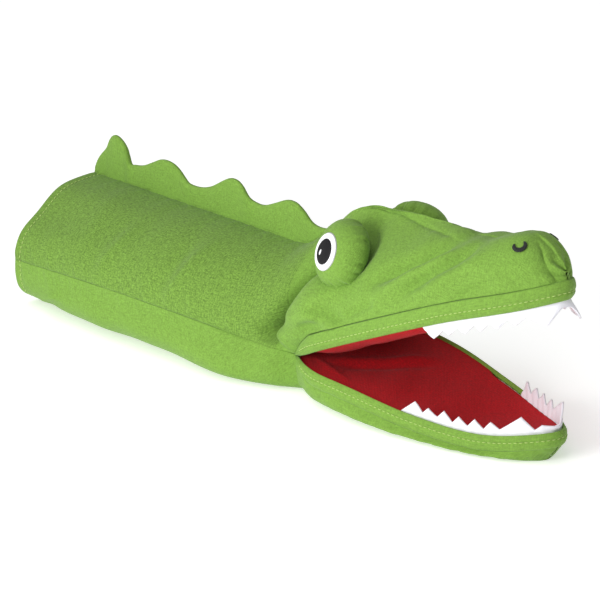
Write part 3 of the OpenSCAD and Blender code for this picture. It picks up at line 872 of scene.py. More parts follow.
@dataclass
class Skin:
    """Shape of the cloth from the cuff over the back and the head to the tip of the upper jaw.

    Attributes:
        cut: The shared sizes.
        seam_reach: Distance at which the roll of the cloth into a seam ends.
    """

    cut: Cut = CUT
    seam_reach: float = 2.6

    def band_h(self, x: np.ndarray, full: float) -> np.ndarray:
        """Height of a lip band at x: none at the corner of the mouth, full after 18 mm."""
        return full * np.clip(np.asarray(x, float) / 18, 0, 1) ** 0.6

    def base(self, x: np.ndarray) -> np.ndarray:
        """Height where the upper cloth starts: the side seam, and after the corner the lip band's seam."""
        c = self.cut
        return np.where(x < 0, c.side_h(x), smooth(c.upper_lip, x) + self.band_h(x, c.upper_band_h))

    def width(self, x: np.ndarray) -> np.ndarray:
        """Half width at the base: the sleeve's, and the mouth's after the corner."""
        k = ease(x, -16, 5)
        return self.cut.sleeve_w(np.minimum(x, 5)) * (1 - k) + self.cut.lip_w(x, self.cut.head_l) * k

    def back(self, x: np.ndarray, a: np.ndarray, inside: float | np.ndarray = 0.0) -> np.ndarray:
        """Points of the upper cloth.

        Across, the half width times a power of the cosine, and up, the sine. The power makes the
        head narrow towards its top. The cheek stands out, and the neck pulls in and draws back
        behind it. Towards the cuff the cloth is flatter half way up and fuller above that. The
        snout has a shallow saddle, and its front leans back towards the top.

        Args:
            x: Positions.
            a: Angles from 0 at the left base over the top to pi at the right base.
            inside: How far inside the cloth.

        Returns:
            Points, in the shape of x with 3 numbers each.
        """
        x, a = np.broadcast_arrays(np.asarray(x, float), np.asarray(a, float))
        base, top = self.base(x), self.cut.back_top(x) - inside
        side = np.abs(np.cos(a)) ** smooth(self.cut.narrowing, x)
        low = np.sin(a)
        y = np.maximum(self.width(x) - inside, 0.1) * side
        up = base + (np.maximum(top, base + 0.5) - base) * low
        behind = x + 6 - 0.6 * (up - 37)
        free = ease(up - base, 0, 10) * ease(up, 98, 74)
        cheek = 8.0 * dome(behind, 11, 10) * free
        neck = 19.0 * dome(behind, -6, 8) * free
        y = np.maximum(y + (cheek - neck) * side, 0)
        corner = 0.6 * dome(x, -self.cut.sleeve_l, 90)
        turn = np.minimum(a, math.pi - a)
        y = y - (3.4 * dome(turn, 0.72, 0.24) - 1.6 * dome(turn, 1.2, 0.18)) * corner
        up = up - (3.0 * dome(turn, 0.72, 0.24) - 1.5 * dome(turn, 1.15, 0.2)) * corner
        front = self.cut.head_l
        saddle = 2.6 * dome(np.abs(a - math.pi / 2), 0, 0.3) * dome(x, 118, 24)
        back = 2.6 * ease(x, front - 14, front) * low + 12.0 * dome(behind, 4, 6) * free * side
        return np.stack([x - back, y * np.sign(np.cos(a)), up - saddle], axis=-1)

    def belly(self, x: np.ndarray, a: np.ndarray, inside: float | np.ndarray = 0.0) -> np.ndarray:
        """Points of the lower cloth from the right seam under the belly or chin to the left one.

        It is a squarish bowl that is flat where it lies on the floor. After the corner of the mouth
        it starts under the lower lip band, and at the tip it draws back towards the floor. It is
        fuller along the sleeve, at the neck and under the jaw.

        Args:
            x: Positions.
            a: Angles from 0 at the right seam to pi at the left one.
            inside: How far inside the cloth.

        Returns:
            Points, in the shape of x with 3 numbers each.
        """
        c = self.cut
        x, a = np.broadcast_arrays(np.asarray(x, float), np.asarray(a, float))
        k = ease(x, -20, 14)
        base = np.where(x < 0, c.side_h(x), smooth(c.lower_lip, x) - self.band_h(x, c.lower_band_h))
        jaw = ease(x, -16, 5)
        width = c.sleeve_w(np.minimum(x, 5)) * (1 - jaw) + c.lip_w(x, c.jaw_l) * jaw
        width = np.maximum(width - inside, 0.1)
        power = 0.52 - 0.17 * dome(x, -40, 36)
        deep = np.sin(a) ** power * (1.04 + 0.02 * k)
        y = -width * np.sign(np.cos(a)) * np.abs(np.cos(a)) ** power
        full = (0.13 * dome(x, -36, 36) + 0.07 * ease(x, -222, -185) * ease(x, -30, -70)
                + 0.08 * ease(x, 24, 70) - 0.06 * dome(x, 8, 14))
        y *= 1 + full * ease(deep, 0.0, 0.6)
        z = np.maximum(base * (1 - deep) + inside * np.minimum(deep, 1), inside)
        x = x - np.minimum(deep, 1) * 8.0 * np.clip(x / c.jaw_l, 0, 1) ** 9
        return np.stack([x, y, z], axis=-1)

    def seam_roll(self, points: np.ndarray, normals: np.ndarray, edges: np.ndarray,
                  depth: float) -> np.ndarray:
        """Rolls the cloth into its seams and puckers it a little beside them.

        Args:
            points: A grid of points.
            normals: Outward normals of the grid.
            edges: Distance of each point from the nearest seam.
            depth: Depth of the roll.

        Returns:
            The moved grid.
        """
        roll = depth * np.exp(-edges / self.seam_reach)
        run = points[..., 0] + 0.6 * points[..., 2]
        waves = ripple(run, points[..., 1] * 0.2, 9.0, 1.7)
        pucker = 0.6 * np.exp(-edges / 6.5) * waves * (1 - np.exp(-edges / 1.5))
        return points - normals * (roll - pucker)[..., None]


SKIN = Skin()


def bowl_angles(count: int) -> np.ndarray:
    """Angles across the lower cloth, closer together at both seams."""
    t = np.linspace(0, 1, count)
    return math.pi * (t - 0.155 * np.sin(2 * math.pi * t))


def hem_path(cut: Cut, front: float, step: float, hem: float, fold: float) -> tuple[np.ndarray, np.ndarray]:
    """Rows of a panel with a turned-in hem: inside the cuff, round the fold, and out along the panel.

    Args:
        cut: The shared sizes.
        front: Position of the last row.
        step: Distance between rows.
        hem: Width of the hem.
        fold: Radius of the fold.

    Returns:
        Positions and depths inside the cloth.
    """
    rear = -cut.sleeve_l
    inner = np.linspace(rear + hem, rear + fold, 7)
    turn = np.linspace(-math.pi / 2, math.pi / 2, 7)[1:-1]
    outer = np.arange(rear + fold, front, step)
    x = np.r_[inner, rear + fold - fold * np.cos(turn), outer, front]
    depth = np.r_[np.full(7, 2 * fold), fold * (1 - np.sin(turn)), np.zeros(len(outer) + 1)]
    return x, depth


@dataclass
class Sleeve:
    """The sleeve: two back panels, the belly, and the front ends of all three on the neck.

    Attributes:
        finishes: The finishes.
        cut: The shared sizes.
        across: Columns of a back panel.
        step: Distance between rows, in millimetres.
        cloth: Thickness of the cloth.
    """

    finishes: Finishes
    cut: Cut = CUT
    across: int = 52
    step: float = 1.7
    cloth: float = 0.9

    def soften(self, points: np.ndarray, normals: np.ndarray, edges: np.ndarray,
               side: float) -> np.ndarray:
        """Gives the filled sleeve its hollows and folds.

        Broad waves of under two millimetres, a few upright folds half way along, and slanting drags
        from the neck crease, all fading out at the seams, at the cuff and on the head.

        Args:
            points: A grid of points.
            normals: Outward normals of the grid.
            edges: Distance of each point from the nearest seam.
            side: 1 for the left and -1 for the right.

        Returns:
            The moved grid.
        """
        x, z = points[..., 0], points[..., 2]
        lift = 1.1 * ripple(x, z, 95, 0.7 + side) + 0.35 * ripple(x, z, 31, 2.2 + side)
        folds = (
            0.9 * crease(x, z, (-152, 36), (-146, 66), 5)
            - 0.8 * crease(x, z, (-101, 32), (-94, 68), 6)
            + 0.8 * crease(x, z, (-91, 34), (-82, 70), 5)
            - 0.9 * crease(x, z, (-60, 32), (-44, 64), 6)
            + 1.0 * crease(x, z, (-48, 30), (-22, 40), 4)
            - 0.6 * crease(x, z, (-205, 40), (-160, 50), 7)
        )
        fade = ease(x, -self.cut.sleeve_l + 2, -self.cut.sleeve_l + 30) * ease(x, self.cut.head_rear, -34)
        return points + normals * ((1.2 * lift + 1.8 * folds) * fade * (1 - np.exp(-edges / 6)))[..., None]

    def allow(self, points: np.ndarray, normals: np.ndarray, outside: np.ndarray,
              seam: np.ndarray) -> tuple[np.ndarray, np.ndarray, np.ndarray]:
        """Adds the seam allowances of a panel, which are almost flat inside the hem.

        Args:
            points: A grid of points.
            normals: Outward normals of the grid.
            outside: Whether each row is on the outside, and else in the hem.
            seam: Seam values.

        Returns:
            Points, places on the cloth and seam values.
        """
        inwards = normals * np.where(outside, 1.0, 0.02)[..., None]
        wide, uv, seam = tuck(points, inwards, cloth_uv(points), seam, ALLOWANCE)
        # A seam value of 0.8 paints shade on the allowances where they turn into the seam.
        seam[:, [0, 1, -2, -1]] = 0.8
        uv[:, [0, 1], 1] -= [2.0, 0.9]
        uv[:, [-2, -1], 1] += [0.9, 2.0]
        return wide, uv, seam

    def back_grid(self, x: np.ndarray, depth: np.ndarray,
                  side: int) -> tuple[np.ndarray, np.ndarray, np.ndarray]:
        """Grid of a back panel, from its side seam to the back seam, with its seam allowances.

        Args:
            x: Positions of the rows.
            depth: Depths of the rows.
            side: 1 for the left and -1 for the right.

        Returns:
            Points, places on the cloth and seam values.
        """
        a = np.linspace(0.004, math.pi / 2 - 0.006, self.across)
        points = SKIN.back(x[:, None], a[None], depth[:, None])
        outside = (depth < 0.5)[:, None]
        across = arc(points, 1)
        # On the head there is no back seam, so the distance to it grows there.
        to_crest = across[:, -1:] - across + 40 * ease(x, self.cut.nape_rear, self.cut.head_rear - 4)[:, None]
        edges = np.minimum(across, to_crest)
        fresh = normals_of(points) * -1.0
        normals = np.where(outside[..., None], fresh, 0.0)
        stitch = dome(x, -self.cut.sleeve_l + 6, 1.3)[:, None] * outside
        points = SKIN.seam_roll(points, normals, edges, SEAM_ROLL)
        points = self.soften(points, normals, edges, float(side)) - normals * (0.5 * stitch)[..., None]
        # Seam values: painted shade in the grooves of the side and back seams, and paler rubbed wear beside them.
        seam = np.maximum(0.68 * np.exp(-edges / 0.9), 0.45 * stitch)
        seam = np.maximum(seam, 0.5 * (depth[:, None] > 0.5))
        wide, uv, seam = self.allow(points, fresh, outside, seam)
        return wide * np.array([1, side, 1]), uv, seam

    def belly_grid(self, x: np.ndarray, depth: np.ndarray) -> tuple[np.ndarray, np.ndarray, np.ndarray]:
        """Grid of the belly, from the right seam under it to the left one, with its seam allowances."""
        a = bowl_angles(110)
        points = SKIN.belly(x[:, None], a[None], depth[:, None])
        outside = (depth < 0.5)[:, None]
        across = arc(points, 1)
        edges = np.minimum(across, across[:, -1:] - across)
        fresh = normals_of(points) * -1.0
        normals = np.where(outside[..., None], fresh, 0.0)
        free = ease(points[..., 2], 0.5, 8) * (1 - np.exp(-edges / 5))
        stitch = dome(x, -self.cut.sleeve_l + 6, 1.3)[:, None] * outside
        points = SKIN.seam_roll(points, normals, edges, SEAM_ROLL)
        px, pz = points[..., 0], points[..., 2]
        lift = 0.8 * ripple(px, pz, 60, 5.1) + 1.5 * crease(px, pz, (-214, 8), (-186, 19), 3.2)
        lift = lift - 1.3 * crease(px, pz, (-212, 4), (-184, 15), 3.0)
        lift = lift - 1.0 * crease(px, pz, (-60, 20), (-12, 8), 5)
        points = points + normals * ((lift * free * ease(px, -234, -215)) - 0.5 * stitch)[..., None]
        points[..., 2] = np.maximum(points[..., 2], 0.0)
        # Seam values: painted shade in the grooves of the side seams, and paler rubbed wear beside them.
        seam = np.maximum(0.62 * np.exp(-edges / 0.9), 0.45 * stitch)
        seam = np.maximum(seam, 0.5 * (depth[:, None] > 0.5))
        return self.allow(points, fresh, outside, seam)

    def build(self) -> list[Piece]:
        """Makes the panels.

        Returns:
            The pieces of the sleeve and of the neck.
        """
        c, f = self.cut, self.finishes
        made = []
        for side, word in ((1, "left"), (-1, "right")):
            x, depth = hem_path(c, c.neck_cut, self.step, HEM_WIDTH, HEM_FOLD)
            points, uv, seam = self.back_grid(x, depth, side)
            panel = Piece(f"back_{word}", Slot.BACK).grid(points, uv, seam, flip=side > 0).thicken(self.cloth)
            nodes = [f"back_panel_{word}"] + (["cuff_hem", "neck_bend_cloth"] if side > 0 else [])
            panel.bend(f.back, Body.SLEEVE, Body.NECK, c.bend_rear, c.bend_front, *nodes)
            made.append(panel.sheet((92, 195), 0.95, "stretched", ["belly"]))
            x = np.arange(c.neck_cut, c.head_rear + 0.1, 1.5)
            points, uv, seam = self.back_grid(x, np.zeros(len(x)), side)
            points[:, :2, 2] -= np.array([4.0, 2.0]) * ease(x, c.neck_cut, c.nape_rear)[:, None]
            panel = Piece(f"nape_{word}", Slot.BACK).grid(points, uv, seam, flip=side > 0).thicken(self.cloth)
            nodes = [f"neck_back_{word}"] + (["nape_cloth"] if side > 0 else [])
            panel.bend(f.back, Body.NECK, Body.UPPER, c.nape_rear, c.head_rear, *nodes)
            made.append(panel.sheet((104, 46), 0.78, "stretched", [f"back_{word}", "head_cloth"]))
        x, depth = hem_path(c, c.belly_cut, self.step, HEM_WIDTH, HEM_FOLD)
        points, uv, seam = self.belly_grid(x, depth)
        belly = Piece("belly", Slot.GREEN).grid(points, uv, seam, flip=True).thicken(self.cloth)
        belly.bend(f.green, Body.SLEEVE, Body.NECK, c.bend_rear, c.bend_front, "belly_panel", "neck_belly")
        made.append(belly.sheet((185, 219), 0.95, "stretched", ["back_left", "back_right"]))
        x = np.arange(c.belly_cut, 0.1, 1.5)
        points, uv, seam = self.belly_grid(x, np.zeros(len(x)))
        throat = Piece("throat", Slot.GREEN).grid(points, uv, seam, flip=True).thicken(self.cloth)
        throat.bend(f.green, Body.NECK, Body.LOWER, -22, 0, "throat_cloth")
        made.append(throat.sheet((162, 31), 0.88, "stretched", ["belly", "chin_cloth"]))
        return made


@dataclass
class Crest:
    """The crest: two cloth sides with a little wadding, sewn along the edge and into the back seam.

    Attributes:
        finishes: The finishes.
        cut: The shared sizes.
        half: Half of its thickness.
    """

    finishes: Finishes
    cut: Cut = CUT
    half: float = 2.1

    def grid(self, x: np.ndarray) -> tuple[np.ndarray, np.ndarray, np.ndarray]:
        """Grid of the crest: up its left side, over the sewn edge and down its right side.

        The sides swell between the seams, and the edge has a groove where they are sewn.

        Args:
            x: Positions of the rows.

        Returns:
            Points, places on the cloth and seam values.
        """
        t = np.linspace(-1, 1, 41)
        up = 1 - np.abs(t) ** 1.25
        root = self.cut.back_top(x) - 1.6
        top = np.maximum(smooth(self.cut.crest, x), root + 0.8)
        height = (top - root)[:, None]
        swell = (1 - 0.25 * np.abs(t)) * (np.clip((1 - up) * 3.2, 0, 1) ** 0.45)
        round_off = np.clip((1 - up) * height / 2.4, 0, 1) ** 0.5
        thick = self.half * (0.55 + 0.55 * np.clip(swell, 0, 1)) * round_off
        wave = 0.5 * ripple(x, np.zeros_like(x), 24, 3.0)[:, None] * up[None]
        y = np.sign(-t)[None] * thick + wave
        groove = 0.7 * np.exp(-(np.abs(t)[None] * height / 1.1) ** 2)
        z = root[:, None] + height * up[None] - groove
        points = np.stack([np.repeat(x[:, None], len(t), 1), y, z], axis=-1)
        edge = np.abs(t)[None] * height
        # Seam values: painted shade in the groove of the sewn edge and a painted dark line of shade along the root,
        # where the crest meets the back.
        seam = np.maximum(np.exp(-edge / 0.9), 0.95 * np.exp(-np.abs(up[None] * height - 2.4) / 1.1))
        return points, cloth_uv(points), seam

    def build(self) -> list[Piece]:
        """Makes the crest in two pieces, with the cut over the neck.

        Returns:
            The pieces.
        """
        c, f = self.cut, self.finishes
        x = np.r_[np.linspace(-234.6, -228, 8)[:-1], np.arange(-228, c.neck_cut, 1.2), c.neck_cut]
        points, uv, seam = self.grid(x)
        rear = Piece("crest", Slot.GREEN).grid(points, uv, seam)
        rear.bend(f.green, Body.SLEEVE, Body.NECK, c.bend_rear, c.bend_front,
                  "crest_cloth_left", "crest_cloth_right", "crest_wadding")
        x = np.arange(c.neck_cut, -13.5, 1.2)
        points, uv, seam = self.grid(x)
        front = Piece("crest_front", Slot.GREEN).grid(points, uv, seam)
        front.bend(f.green, Body.NECK, Body.UPPER, c.nape_rear, c.head_rear, "front_crest")
        return [rear, front]


@dataclass
class Head:
    """The stuffed upper jaw: the head cloth with its sewn-in top gusset, and the lip band.

    Attributes:
        finishes: The finishes.
        cut: The shared sizes.
        rows: Rows from the neck to the tip.
        columns: Columns from one band seam to the other.
    """

    finishes: Finishes
    cut: Cut = CUT
    rows: int = 130
    columns: int = 133

    def stations(self) -> np.ndarray:
        """Positions of the rows, even on the cheek and closer together at the tip."""
        c = self.cut
        rear = np.linspace(c.head_rear, 8, 15)
        return np.r_[rear[:-1], c.stations(8, c.head_l, self.rows)]

    def sculpt(self, points: np.ndarray, normals: np.ndarray, x: np.ndarray,
               a: np.ndarray) -> tuple[np.ndarray, np.ndarray]:
        """Adds the seams, the drag folds of the stuffed cloth and the socket of the eye.

        Args:
            points: The plain grid.
            normals: Its outward normals.
            x: Positions of the grid.
            a: Angles of the grid.

        Returns:
            The moved grid and its seam values.
        """
        z = points[..., 2]
        half = np.minimum(a, math.pi - a)
        radius = np.maximum(self.cut.back_top(x) - SKIN.base(x), 8)
        seam_a = np.radians(84 - 0.16 * x)
        from_gusset = np.abs(half - seam_a) * radius * 0.9
        gusset = ease(x, 4, 20) * ease(x, 112, 84)
        dart_x = 168.6 - 15.2 * np.clip(half / math.radians(79), 0, 1.2) ** 2.2
        from_dart = np.abs(x - dart_x)
        dart = ease(half, math.radians(84), math.radians(72)) * (x > 145)
        across = arc(points, 1)
        from_band = np.minimum(across, across[:, -1:] - across)
        front = ease(x, 160, 168)
        side = np.sign(np.cos(a))
        folds = (
            -1.5 * crease(x, z, (60, 83), (104, 112), 3.6) + 1.1 * crease(x, z, (70, 81), (112, 109), 4.2)
            - 1.2 * crease(x, z, (84, 83), (120, 113), 3.2) + 0.8 * crease(x, z, (96, 84), (130, 112), 4.0)
            - 0.9 * crease(x, z, (22, 62), (50, 58), 3.4) + 0.8 * crease(x, z, (20, 56), (54, 53), 4.0)
            - 0.9 * crease(x, z, (2, 40), (34, 56), 3.4)
            - 0.8 * crease(x, z, (48, 62), (66, 74), 3.0) - 0.6 * crease(x, z, (118, 88), (140, 101), 3.2)
        )
        waves = 0.8 * ripple(x + 9 * side, z, 46, 3.3) + 0.3 * ripple(x, z + 20 * side, 19, 1.1)
        nose_folds = 0.9 * front * np.sin(9 * half + 0.8 * side) * ease(half, 0.05, 0.4)
        lift = folds * 3.0 + waves * ease(from_band, 1, 12) * ease(x, -10, 10)
        lift = lift + nose_folds * ease(from_band, 0, 5)
        socket = np.array(EYE_SOCKET) * np.stack([np.ones_like(x), side, np.ones_like(x)], axis=-1)
        eye = np.linalg.norm(points - socket, axis=-1)
        lift = lift - 3.2 * dome(eye, 0, 15) - 1.3 * dome(eye, 17, 3.5)
        lift = lift + 1.3 * dome(half, math.pi / 2, 0.2) * dome(x, 55, 40)
        lift = lift - 1.5 * np.exp(-from_gusset / 1.9) * gusset - 1.5 * np.exp(-from_dart / 1.7) * dart
        pucker = ripple(x * 1.2, z, 8.0, 0.4)
        lift = lift + 0.4 * pucker * np.exp(-from_gusset / 5) * gusset
        lift = lift + 0.45 * pucker * np.exp(-from_dart / 5) * dart
        rear = self.cut.head_rear
        lift = np.where(x < rear + 0.2, 0, lift) * ease(x, rear, rear + 10)
        moved = SKIN.seam_roll(points + normals * lift[..., None], normals, from_band, SEAM_ROLL)
        # Seam values: painted shade in the grooves of the gusset and dart seams and, less, of the band seam; paler
        # rubbed wear beside them.
        seam = np.maximum(0.66 * np.exp(-from_band / 1.0), np.exp(-from_gusset / 1.2) * gusset * 0.92)
        return moved, np.maximum(seam, np.exp(-from_dart / 1.1) * dart * 0.9)

    def cover(self) -> Piece:
        """Makes the head cloth.

        Returns:
            The piece, without its finish.
        """
        angles = np.linspace(0.004, math.pi - 0.004, self.columns)
        x, a = np.meshgrid(self.stations(), angles, indexing="ij")
        plain = SKIN.back(x, a)
        normals = normals_of(plain) * -1.0
        points, seam = self.sculpt(plain, normals, x, a)
        wide, uv, seam = tuck(points, normals, cloth_uv(points), seam, 2.6)
        # The allowances get the full painted groove shade.
        seam[:, [0, 1, -2, -1]] = 1.0
        # Behind the corners of the mouth the edges hang down inside the throat.
        wide[:, [0, 1, -2, -1], 2] -= np.array([4.0, 2.0, 2.0, 4.0]) * ease(wide[:, 2:3, 0], 1, -6)
        held = np.maximum(seam, wide[..., 0] < self.cut.head_rear + 5)
        held[:, :4] = held[:, -4:] = held[-3:] = 1.0
        return Piece("head_cloth", Slot.GREEN).grid(wide, uv, seam, flip=True).fill(held, 1.8)

    def build(self) -> list[Piece]:
        """Returns:
            The pieces.
        """
        c, f = self.cut, self.finishes
        cover = self.cover()
        cover.finish(f.green, Body.UPPER, "head_side_left", "head_side_right", "head_top_gusset",
                     "snout_stuffing", "crown_padding", "upper_jaw_pad", "upper_mouth_board")
        band = lip_band("upper_lip_cloth", c.head_l, c.upper_lip, c.upper_band_h, 1)
        band.finish(f.green, Body.UPPER, "upper_lip_band")
        band.sheet((20.5, 408), 0.9, "stretched", ["head_cloth"])
        return [cover, band]


def round_lip(length: float, count: int) -> tuple[np.ndarray, np.ndarray]:
    """Stations round a lip from the left corner over the tip to the right corner.

    Args:
        length: Length of the jaw.
        count: Stations on one side.

    Returns:
        Positions, and 1 on the left or -1 on the right.
    """
    x = CUT.stations(0.0, length, count)
    return np.r_[x, x[-2::-1]], np.r_[np.ones(count), -np.ones(count - 1)]


def lip_line(length: float, side_points: Sequence, inset: np.ndarray | float, up: np.ndarray | float,
             count: int = LIP_STATIONS) -> np.ndarray:
    """Points round a lip, moved inwards and up.

    Args:
        length: Length of the jaw.
        side_points: Side view of the lip.
        inset: How far inside the lip.
        up: How far above it.
        count: Stations on one side.

    Returns:
        Points from the left corner to the right corner.
    """
    x, side = round_lip(length, count)
    ex, ey = CUT.lip_edge(x, length, inset)
    return np.stack([ex, ey * side, smooth(side_points, x) + up], axis=-1)


def lip_band(name: str, length: float, side_points: Sequence, height: float, direction: int) -> Piece:
    """Makes the band of cloth round a lip.

    Its section goes from the band seam down a padded face, round the edge of the lip and back
    inside to the lining.

    Args:
        name: Name of the object.
        length: Length of the jaw.
        side_points: Side view of the lip.
        height: Height of the band.
        direction: 1 for a band above its lip and -1 for one below it.

    Returns:
        The piece, without its finish.
    """
    x, _ = round_lip(length, LIP_STATIONS)
    tall = SKIN.band_h(np.maximum(x, 0.4), height)
    share = np.r_[np.linspace(1, 0.1, 12), 0.03]
    bulge = 1.6 * np.sin(math.pi * np.clip(share, 0, 1)) ** 0.6 * (1 - 0.25 * share)
    groove = 0.75 * np.exp(-(((share - 0.36) / 0.07) ** 2))
    out = np.r_[-2.4, -1.0, bulge - groove, -0.1, -0.5, -1.0, -1.7, -4.2]
    rise = np.r_[1.0, 1.0, share, -0.06, -0.11, -0.08, 0.1, 0.3]
    puff = 0.25 * ripple(x, np.zeros_like(x), 11, 2.0)
    sink = np.r_[np.zeros(len(out) - 2), 1.0, 2.2]
    rows = [lip_line(length, side_points, -(o + puff * (o > 0)), direction * (r * tall + d))
            for o, r, d in zip(out, rise, sink)]
    points = np.stack(rows, axis=1)
    # Seam values over a half paint shade into the band seam's groove and, a little, inside the lip edge.
    outer = np.maximum(0.66 * np.exp(-(1 - share) * height / 1.3), 0.5 * (groove > 0.2))
    seam = np.repeat(np.r_[0.7, 0.7, outer, 0.3, 0.4, 0.6, 0.6, 0.6][None], len(points), 0)
    return Piece(name, Slot.GREEN).grid(points, cloth_uv(points), seam, flip=direction > 0)


def zigzag(first: float, tip: float, valley: float, front: Sequence[Sequence[float]]) -> list:
    """Outline of one side of a strip of teeth: small teeth of uneven length, and then its front.

    Args:
        first: Position where the teeth start.
        tip: Length of a small tooth, before the unevenness.
        valley: Height between two small teeth, before the unevenness.
        front: Positions and heights of the points at the tip of the jaw.

    Returns:
        Positions and heights, from the rear to the tip.
    """
    rows = [(first, 0.0)]
    for i, wobble in enumerate(TOOTH_WOBBLE, 1):
        rows += [(first + i * TOOTH_PITCH + 0.3 * wobble, tip + wobble),
                 (first + (i + 0.55) * TOOTH_PITCH, valley - 0.6 * wobble)]
    return rows + list(front)


@dataclass
class Mouth:
    """The red lining and the felt teeth of one jaw.

    Attributes:
        finishes: The finishes.
        cut: The shared sizes.
    """

    finishes: Finishes
    cut: Cut = CUT

    def sheet(self, length: float, upper: bool) -> tuple[np.ndarray, np.ndarray, np.ndarray]:
        """Grid of the palate or of the floor of the mouth.

        It starts on the hinge line, where both sheets meet in the throat, and ends inside the lip.

        Args:
            length: Length of the jaw.
            upper: The palate, and else the floor.

        Returns:
            Points, places on the cloth and seam values.
        """
        c = self.cut
        x = c.stations(0.0, length, 110)
        s = np.linspace(-1, 1, 71)
        first = 98.0 if upper else 86.0
        ex, ey = c.lip_edge(x, length, 1.2 + 2.2 * ease(x, first - 12, first - 2))
        y = ey[:, None] * s[None]
        away = ease(x, 0, 30)[:, None]
        flat = (1 - s[None] ** 2) * (1 - ease(x, length - 40, length))[:, None]
        if upper:
            wall = (1 - np.abs(s[None]) ** 5) * (1 - ease(x, length - 60, length - 6))[:, None]
            z = smooth(c.upper_lip, x)[:, None] + 1.0 - (7.0 * wall + 1.5 * flat) * away
            wrinkle = 0.7 * ripple(ex[:, None], y, 34, 1.2)
            wrinkle = wrinkle + 0.8 * crease(ex[:, None], y, (16, 30), (70, 26), 3)
        else:
            z = smooth(c.lower_lip, x)[:, None] - 1.0 - 2.4 * flat * away
            wrinkle = 0.6 * ripple(ex[:, None], y, 40, 0.3)
            wrinkle = wrinkle + 1.6 * crease(ex[:, None], y, (14, -24), (44, 26), 3.4)
            wrinkle = wrinkle - 1.4 * crease(ex[:, None], y, (20, -28), (52, 22), 3.4)
            wrinkle = wrinkle + 1.0 * crease(ex[:, None], y, (6, -30), (40, -36), 2.4)
        wrinkle = wrinkle * (1 - s[None] ** 4) * ease(x, 2, 14)[:, None]
        z = z + wrinkle * (1 - ease(x, length - 14, length))[:, None]
        points = np.stack([np.repeat(ex[:, None], 71, 1), y, z], axis=-1)
        edge = (1 - np.abs(s))[None] * ey[:, None]
        # Seam values: painted shade along the edges inside the lips and into the throat at the hinge, with paler
        # rubbed wear.
        seam = np.maximum(np.exp(-edge / 1.4), np.exp(-x / 1.6)[:, None])
        return points, cloth_uv(points), seam

    def teeth(self, name: str, length: float, side_points: Sequence, outline: Sequence[Sequence[float]],
              direction: int, flare: float) -> Piece:
        """A strip of felt cut in a zigzag, sewn inside a lip.

        The cut edge is straight between the points of the outline. The strip is as thick as the
        felt, and it bends outwards unevenly from tooth to tooth, and more on the left. The lower
        teeth on the left start further forward.

        Args:
            name: Name of the object.
            length: Length of the jaw.
            side_points: Side view of the lip.
            outline: Positions and heights along one side, from the rear to the tip.
            direction: -1 for teeth that point down and 1 for teeth that point up.
            flare: How far a tooth of 10 mm leans outwards, before the unevenness.

        Returns:
            The piece, without its finish.
        """
        line = np.asarray(outline, float)
        parts = [np.linspace(p, q, 7)[:-1] for p, q in zip(line[:-1], line[1:])]
        dense = np.concatenate([*parts, line[-1:]])
        x = np.r_[dense[:, 0], dense[::-1, 0]]
        tall = np.r_[dense[:, 1], dense[::-1, 1]]
        side = np.r_[np.ones(len(dense)), -np.ones(len(dense))]
        if direction > 0:
            begun = ease(x, 108, 114)
            tall = np.where(side > 0, 1.05 * tall * begun - 1.6 * (1 - begun), tall)
        root = 3.0
        share = np.linspace(0, 1, 7)
        reach = -root + share[None] * (tall + root)[:, None]
        lean = 0.75 + 0.5 * ripple(x, side * 40, 17, 0.9)
        lean = lean + (side > 0) * (0.6 + 1.4 * ease(x, 160, 166) * (direction < 0))
        wave = 0.25 * np.sin(reach * 0.55 + x[:, None])
        out = flare * np.maximum(reach, 0) / 10 * lean[:, None] + wave
        ex, ey = self.cut.lip_edge(x[:, None], length, 2.1 - out)
        z = smooth(side_points, x)[:, None] + direction * reach
        points = np.stack([ex, ey * side[:, None], z], axis=-1)
        uv = np.stack([np.repeat(arc(points, 0)[:, 3][:, None], 7, 1), reach], axis=-1)
        return Piece(name, Slot.FELT).grid(points, uv, flip=direction > 0).thicken(1.1, rim=True)

    def build(self) -> list[Piece]:
        """Makes the linings and the teeth.

        Returns:
            The pieces.
        """
        c, f = self.cut, self.finishes
        made = []
        jaws = ((True, "palate", c.head_l, ("palate_lining", "throat_fold")),
                (False, "mouth_floor", c.jaw_l, ("floor_lining", "lower_mouth_board")))
        for upper, name, length, nodes in jaws:
            points, uv, seam = self.sheet(length, upper)
            body = Body.UPPER if upper else Body.LOWER
            sheet = Piece(name, Slot.RED).grid(points, uv, seam, flip=not upper).finish(f.red, body, *nodes)
            made.append(sheet.sheet((98, 181) if upper else (95, 168), 0.74, "stretched",
                                    ["upper_lip_cloth" if upper else "lower_lip_cloth"]))
        outline = zigzag(98, 9.0, 5.4, [(166.3, 12.5), (170.6, 5.0)])
        made.append(self.teeth("upper_teeth_felt", c.head_l, c.upper_lip, outline, -1, 2.2)
                    .finish(f.felt, Body.UPPER, "upper_teeth")
                    .sheet((15, 190), 0.69, "stretched", ["upper_lip_cloth"]))
        outline = zigzag(86, 8.2, 3.6, [(155.5, 11.0), (161.5, 2.5), (164.5, 5.0), (168.6, 3.2)])
        made.append(self.teeth("lower_teeth_felt", c.jaw_l, c.lower_lip, outline, 1, 1.6)
                    .finish(f.felt, Body.LOWER, "lower_teeth")
                    .sheet((14, 207), 0.6, "stretched", ["lower_lip_cloth"]))
        return made


